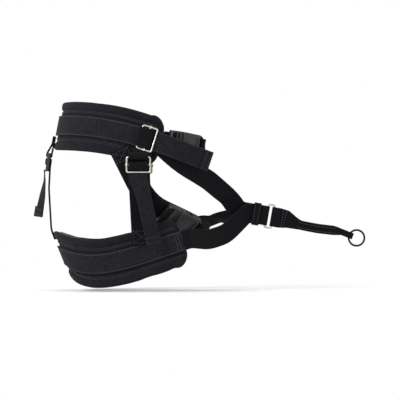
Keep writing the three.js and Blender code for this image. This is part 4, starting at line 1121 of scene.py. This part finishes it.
# ---- moulded hardware: the solids' own shapes with softened edges ----
def moulded(node, body, width=0.5, extras=()):
    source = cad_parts[node]
    mesh = bpy.data.meshes.new(node + "_moulded")
    shell = bmesh.new()
    shell.from_mesh(source.data)
    bmesh.ops.remove_doubles(shell, verts=shell.verts, dist=2e-6)
    bmesh.ops.dissolve_limit(shell, angle_limit=math.radians(1.5), verts=shell.verts, edges=shell.edges)
    shell.to_mesh(mesh)
    shell.free()
    piece = bpy.data.objects.new(node + "_moulded", mesh)
    bpy.context.scene.collection.objects.link(piece)
    mesh.materials.clear()
    mesh.materials.append(BUCKLE_PLASTIC)
    for polygon in mesh.polygons:
        polygon.material_index = 0
    soft = piece.modifiers.new("soft edges", "BEVEL")
    soft.width, soft.segments = width * MM, 2
    soft.limit_method, soft.angle_limit = "ANGLE", math.radians(30)
    soft.use_clamp_overlap = True
    bpy.context.view_layer.update()
    graph = bpy.context.evaluated_depsgraph_get()
    fine = bpy.data.meshes.new_from_object(piece.evaluated_get(graph), depsgraph=graph)
    piece.modifiers.clear()
    piece.data = fine
    for polygon in fine.polygons:
        polygon.use_smooth = True
    fine.set_sharp_from_angle(angle=math.radians(38))
    if extras:
        piece = joined(node + "_moulded", [piece, *extras])
    return belongs(piece, body, "buckle_plastic", node)


BUCKLE_HEIGHT, BUCKLE_RIM, BUCKLE_BODY, BUCKLE_BAR, STRAP_SLOT = 9.6, 3.6, 31, 2.4, 5
TONGUE_BACK = 20
brow_spot = Spot((62, -58, 64), (36, 41, -7), (0.12, -0.06, 1))
throat_spot = Spot((55, -59.5, -30), (41, 37, -22), (0.64, -0.309, 0.69))
BUCKLE_HALF = WEB_WIDTH / 2 + BUCKLE_RIM


def grip(spot, u, half, height, radius=0.7):
    """A raised rib across a buckle's outer face."""
    return rod("grip", [spot.at(u, v, height) for v in (-half, 0, half)], radius, BUCKLE_PLASTIC, sides=10)


for name, spot in (("brow", brow_spot), ("throat", throat_spot)):
    top, tongue_top = BUCKLE_HEIGHT / 2 - 0.1, (BUCKLE_HEIGHT - 1.6) / 2 - 0.1
    moulded(name + "_buckle_socket", "halter", 0.55, [
        grip(spot, u, BUCKLE_HALF - 5, top) for u in (1.6, 24, 26, 28)])
    moulded(name + "_buckle_tongue", "halter", 0.5, [
        grip(spot, u, BUCKLE_HALF - 3, tongue_top, 0.6) for u in (-2.2, -3.9)])
    moulded(name + "_buckle_upper_arm", name + "_upper_arm", 0.3)
    moulded(name + "_buckle_lower_arm", name + "_lower_arm", 0.3)
moulded("rear_ladderlock", "halter", 0.45, [
    grip(rear_spot, -0.9 + du, WEB_WIDTH / 2 - 1, LOCK_BAR, 0.35) for du in (0.3, 1.5)])

# ---- brow and throat straps ----
socket_bar = BUCKLE_BODY + STRAP_SLOT + BUCKLE_BAR / 2
tongue_bar = -TONGUE_BACK + BUCKLE_BAR / 2
socket_bend = BUCKLE_HEIGHT / 2 + GAP + WEB_THICK / 2
tongue_bend = (BUCKLE_HEIGHT - 1.6) / 2 + GAP + WEB_THICK / 2
slot_depth = BUCKLE_BAR / 2 + GAP + WEB_THICK / 2 + 0.2


def bar_loop(spot, u, facing, bend, tail_length):
    at = lambda du, h, r=25: corner(spot.at(u + facing * du, 0, h), spot.across, r)
    return [at(tail_length, -(bend + 0.4), 3), at(-slot_depth, -(bend + 0.4), 1.6), at(-slot_depth, bend, 1.6),
            at(tail_length * 0.5, bend, 20), at(tail_length, 0.2 - bend + PLY * 1.6)]


band_end = BandPath(UPPER, 0, [0, 0.001])
past_end = lambda far, rise=1.0: band_end.at[0] - band_end.along[0] * far + band_end.across[0] * rise
end_across = band_end.across[0]
brow_right, _ = webbing("brow_strap_right_piece", [
    corner(past_end(1), end_across), corner(past_end(2.5), end_across, 3),
    *bar_loop(brow_spot, tongue_bar, -1, tongue_bend, 3)[:3],
    corner(brow_spot.at(tongue_bar - 2.6, 0, tongue_bend + 0.2), brow_spot.across)])
belongs(brow_right, "halter", "webbing", "brow_strap_right")
UP = (0, 0, 1)
brow_left, _ = webbing("brow_strap_left_piece", [
    corner(brow_spot.at(socket_bar + 9, 0, -socket_bend + 2 * PLY), brow_spot.across),
    *bar_loop(brow_spot, socket_bar, 1, socket_bend, 7)[:4][::-1],
    corner((93.5, -12, 57.5), UP, 30), corner((93.5, 14, 57.5), UP, 40), corner((72, 58, 62), UP, 60),
    corner(past_end(6) * FLIP, end_across * FLIP, 30), corner(past_end(1) * FLIP, end_across * FLIP)])
belongs(brow_left, "halter", "webbing", "brow_strap_left")

ON_PAD = (0.894, 0, 0.447)
face_y = -(UPPER["half"] + STRIP_OFFSET + 0.5)
throat_right, throat_right_path = webbing("throat_strap_right_piece", [
    corner((-13.5, face_y, 57), ON_PAD), corner((-4.5, face_y, 39), ON_PAD, 20),
    corner((9, face_y + 4.5, 12), ON_PAD, 60), corner((26, face_y + 7.5, -11), (0.72, -0.25, 0.65), 30),
    *bar_loop(throat_spot, tongue_bar, -1, tongue_bend, 5)[:3],
    corner(throat_spot.at(tongue_bar - 3.5, 0, tongue_bend + 0.4), throat_spot.across)])
belongs(throat_right, "halter", "webbing", "throat_strap_right")
FRONT = (0.45, 0, 0.9)
throat_left, throat_left_path = webbing("throat_strap_left_piece", [
    corner(throat_spot.at(socket_bar + 9, 0, -socket_bend + 2 * PLY), throat_spot.across),
    *bar_loop(throat_spot, socket_bar, 1, socket_bend, 7)[:4][::-1],
    corner((96, -12, -48), FRONT, 30), corner((96, 14, -48), FRONT, 40),
    corner((72, 50, -33), (0.6, 0.25, 0.75), 60), corner((26, -face_y - 7.5, -11), (0.72, 0.25, 0.65), 60),
    corner((9, -face_y - 4.5, 12), ON_PAD, 60), corner((-4.5, -face_y, 39), ON_PAD, 20),
    corner((-13.5, -face_y, 57), ON_PAD)])
belongs(throat_left, "halter", "webbing", "throat_strap_left")
belongs(stitches("strap_end_stitches", [
    *boxed(throat_right_path, -WEB_THICK / 2 - 0.1, 2.5, 15, 9.5),
    *boxed(rear_path, WEB_THICK / 2 + 0.1, -10, -1.5, 9.5),
    *boxed(throat_left_path, WEB_THICK / 2 + 0.1, -15, -2.5, 9.5)]), "halter", "webbing")

# ---- floor, light and camera ----
floor_z = CAD_BOX[0][2] - 0.004
disc = bmesh.new()
bmesh.ops.create_circle(disc, cap_ends=True, segments=96, radius=4.0)
floor_mesh = bpy.data.meshes.new("floor")
disc.to_mesh(floor_mesh)
disc.free()
floor = bpy.data.objects.new("floor", floor_mesh)
floor.location = (0, 0, floor_z)
bpy.context.scene.collection.objects.link(floor)
pale = Finish("pale floor")
away = pale.node("ShaderNodeVectorMath", {"operation": "LENGTH"}, {0: pale.place(0.001)}, out=1)
fade = away.between(0.35, 1.4)
pale.surface(Base_Color=pale.mix(fade, (0.8, 0.8, 0.8, 1), (0, 0, 0, 1)), Roughness=0.9, Specular_IOR_Level=0.0,
             Emission_Color=pale.mix(fade, (0, 0, 0, 1), (1, 1, 1, 1)), Emission_Strength=1.0)
floor_mesh.materials.append(pale.material)

world = bpy.data.worlds.new("studio")
bpy.context.scene.world = world
bpy.context.scene.view_settings.view_transform = "Standard"
world.use_nodes = True
world.node_tree.nodes["Background"].inputs[0].default_value = (1, 1, 1, 1)
world.node_tree.nodes["Background"].inputs[1].default_value = 1.0


def softbox(name, place, aim, power, size):
    lamp = bpy.data.lights.new(name, "AREA")
    lamp.energy, lamp.size = power, size
    made = bpy.data.objects.new(name, lamp)
    made.location = place
    made.rotation_euler = (Vector(aim) - Vector(place)).to_track_quat("-Z", "Y").to_euler()
    bpy.context.scene.collection.objects.link(made)


softbox("key light", (-1.1, -1.4, 0.9), (0, 0, 0), 26, 0.7)
softbox("fill light", (1.2, -1.0, 0.5), (0.1, 0, 0), 2.5, 0.8)
softbox("rim light", (-0.3, 1.4, 1.3), (0, 0, 0), 8, 0.9)

camera = bpy.data.cameras.new("camera")
camera.sensor_width, camera.lens = 36, 360
eye_level = bpy.data.objects.new("camera", camera)
eye_level.location = (0.0875, -0.085 - 5.0, -0.00625)
eye_level.rotation_euler = (math.radians(90), 0, 0)
bpy.context.scene.collection.objects.link(eye_level)
bpy.context.scene.camera = eye_level
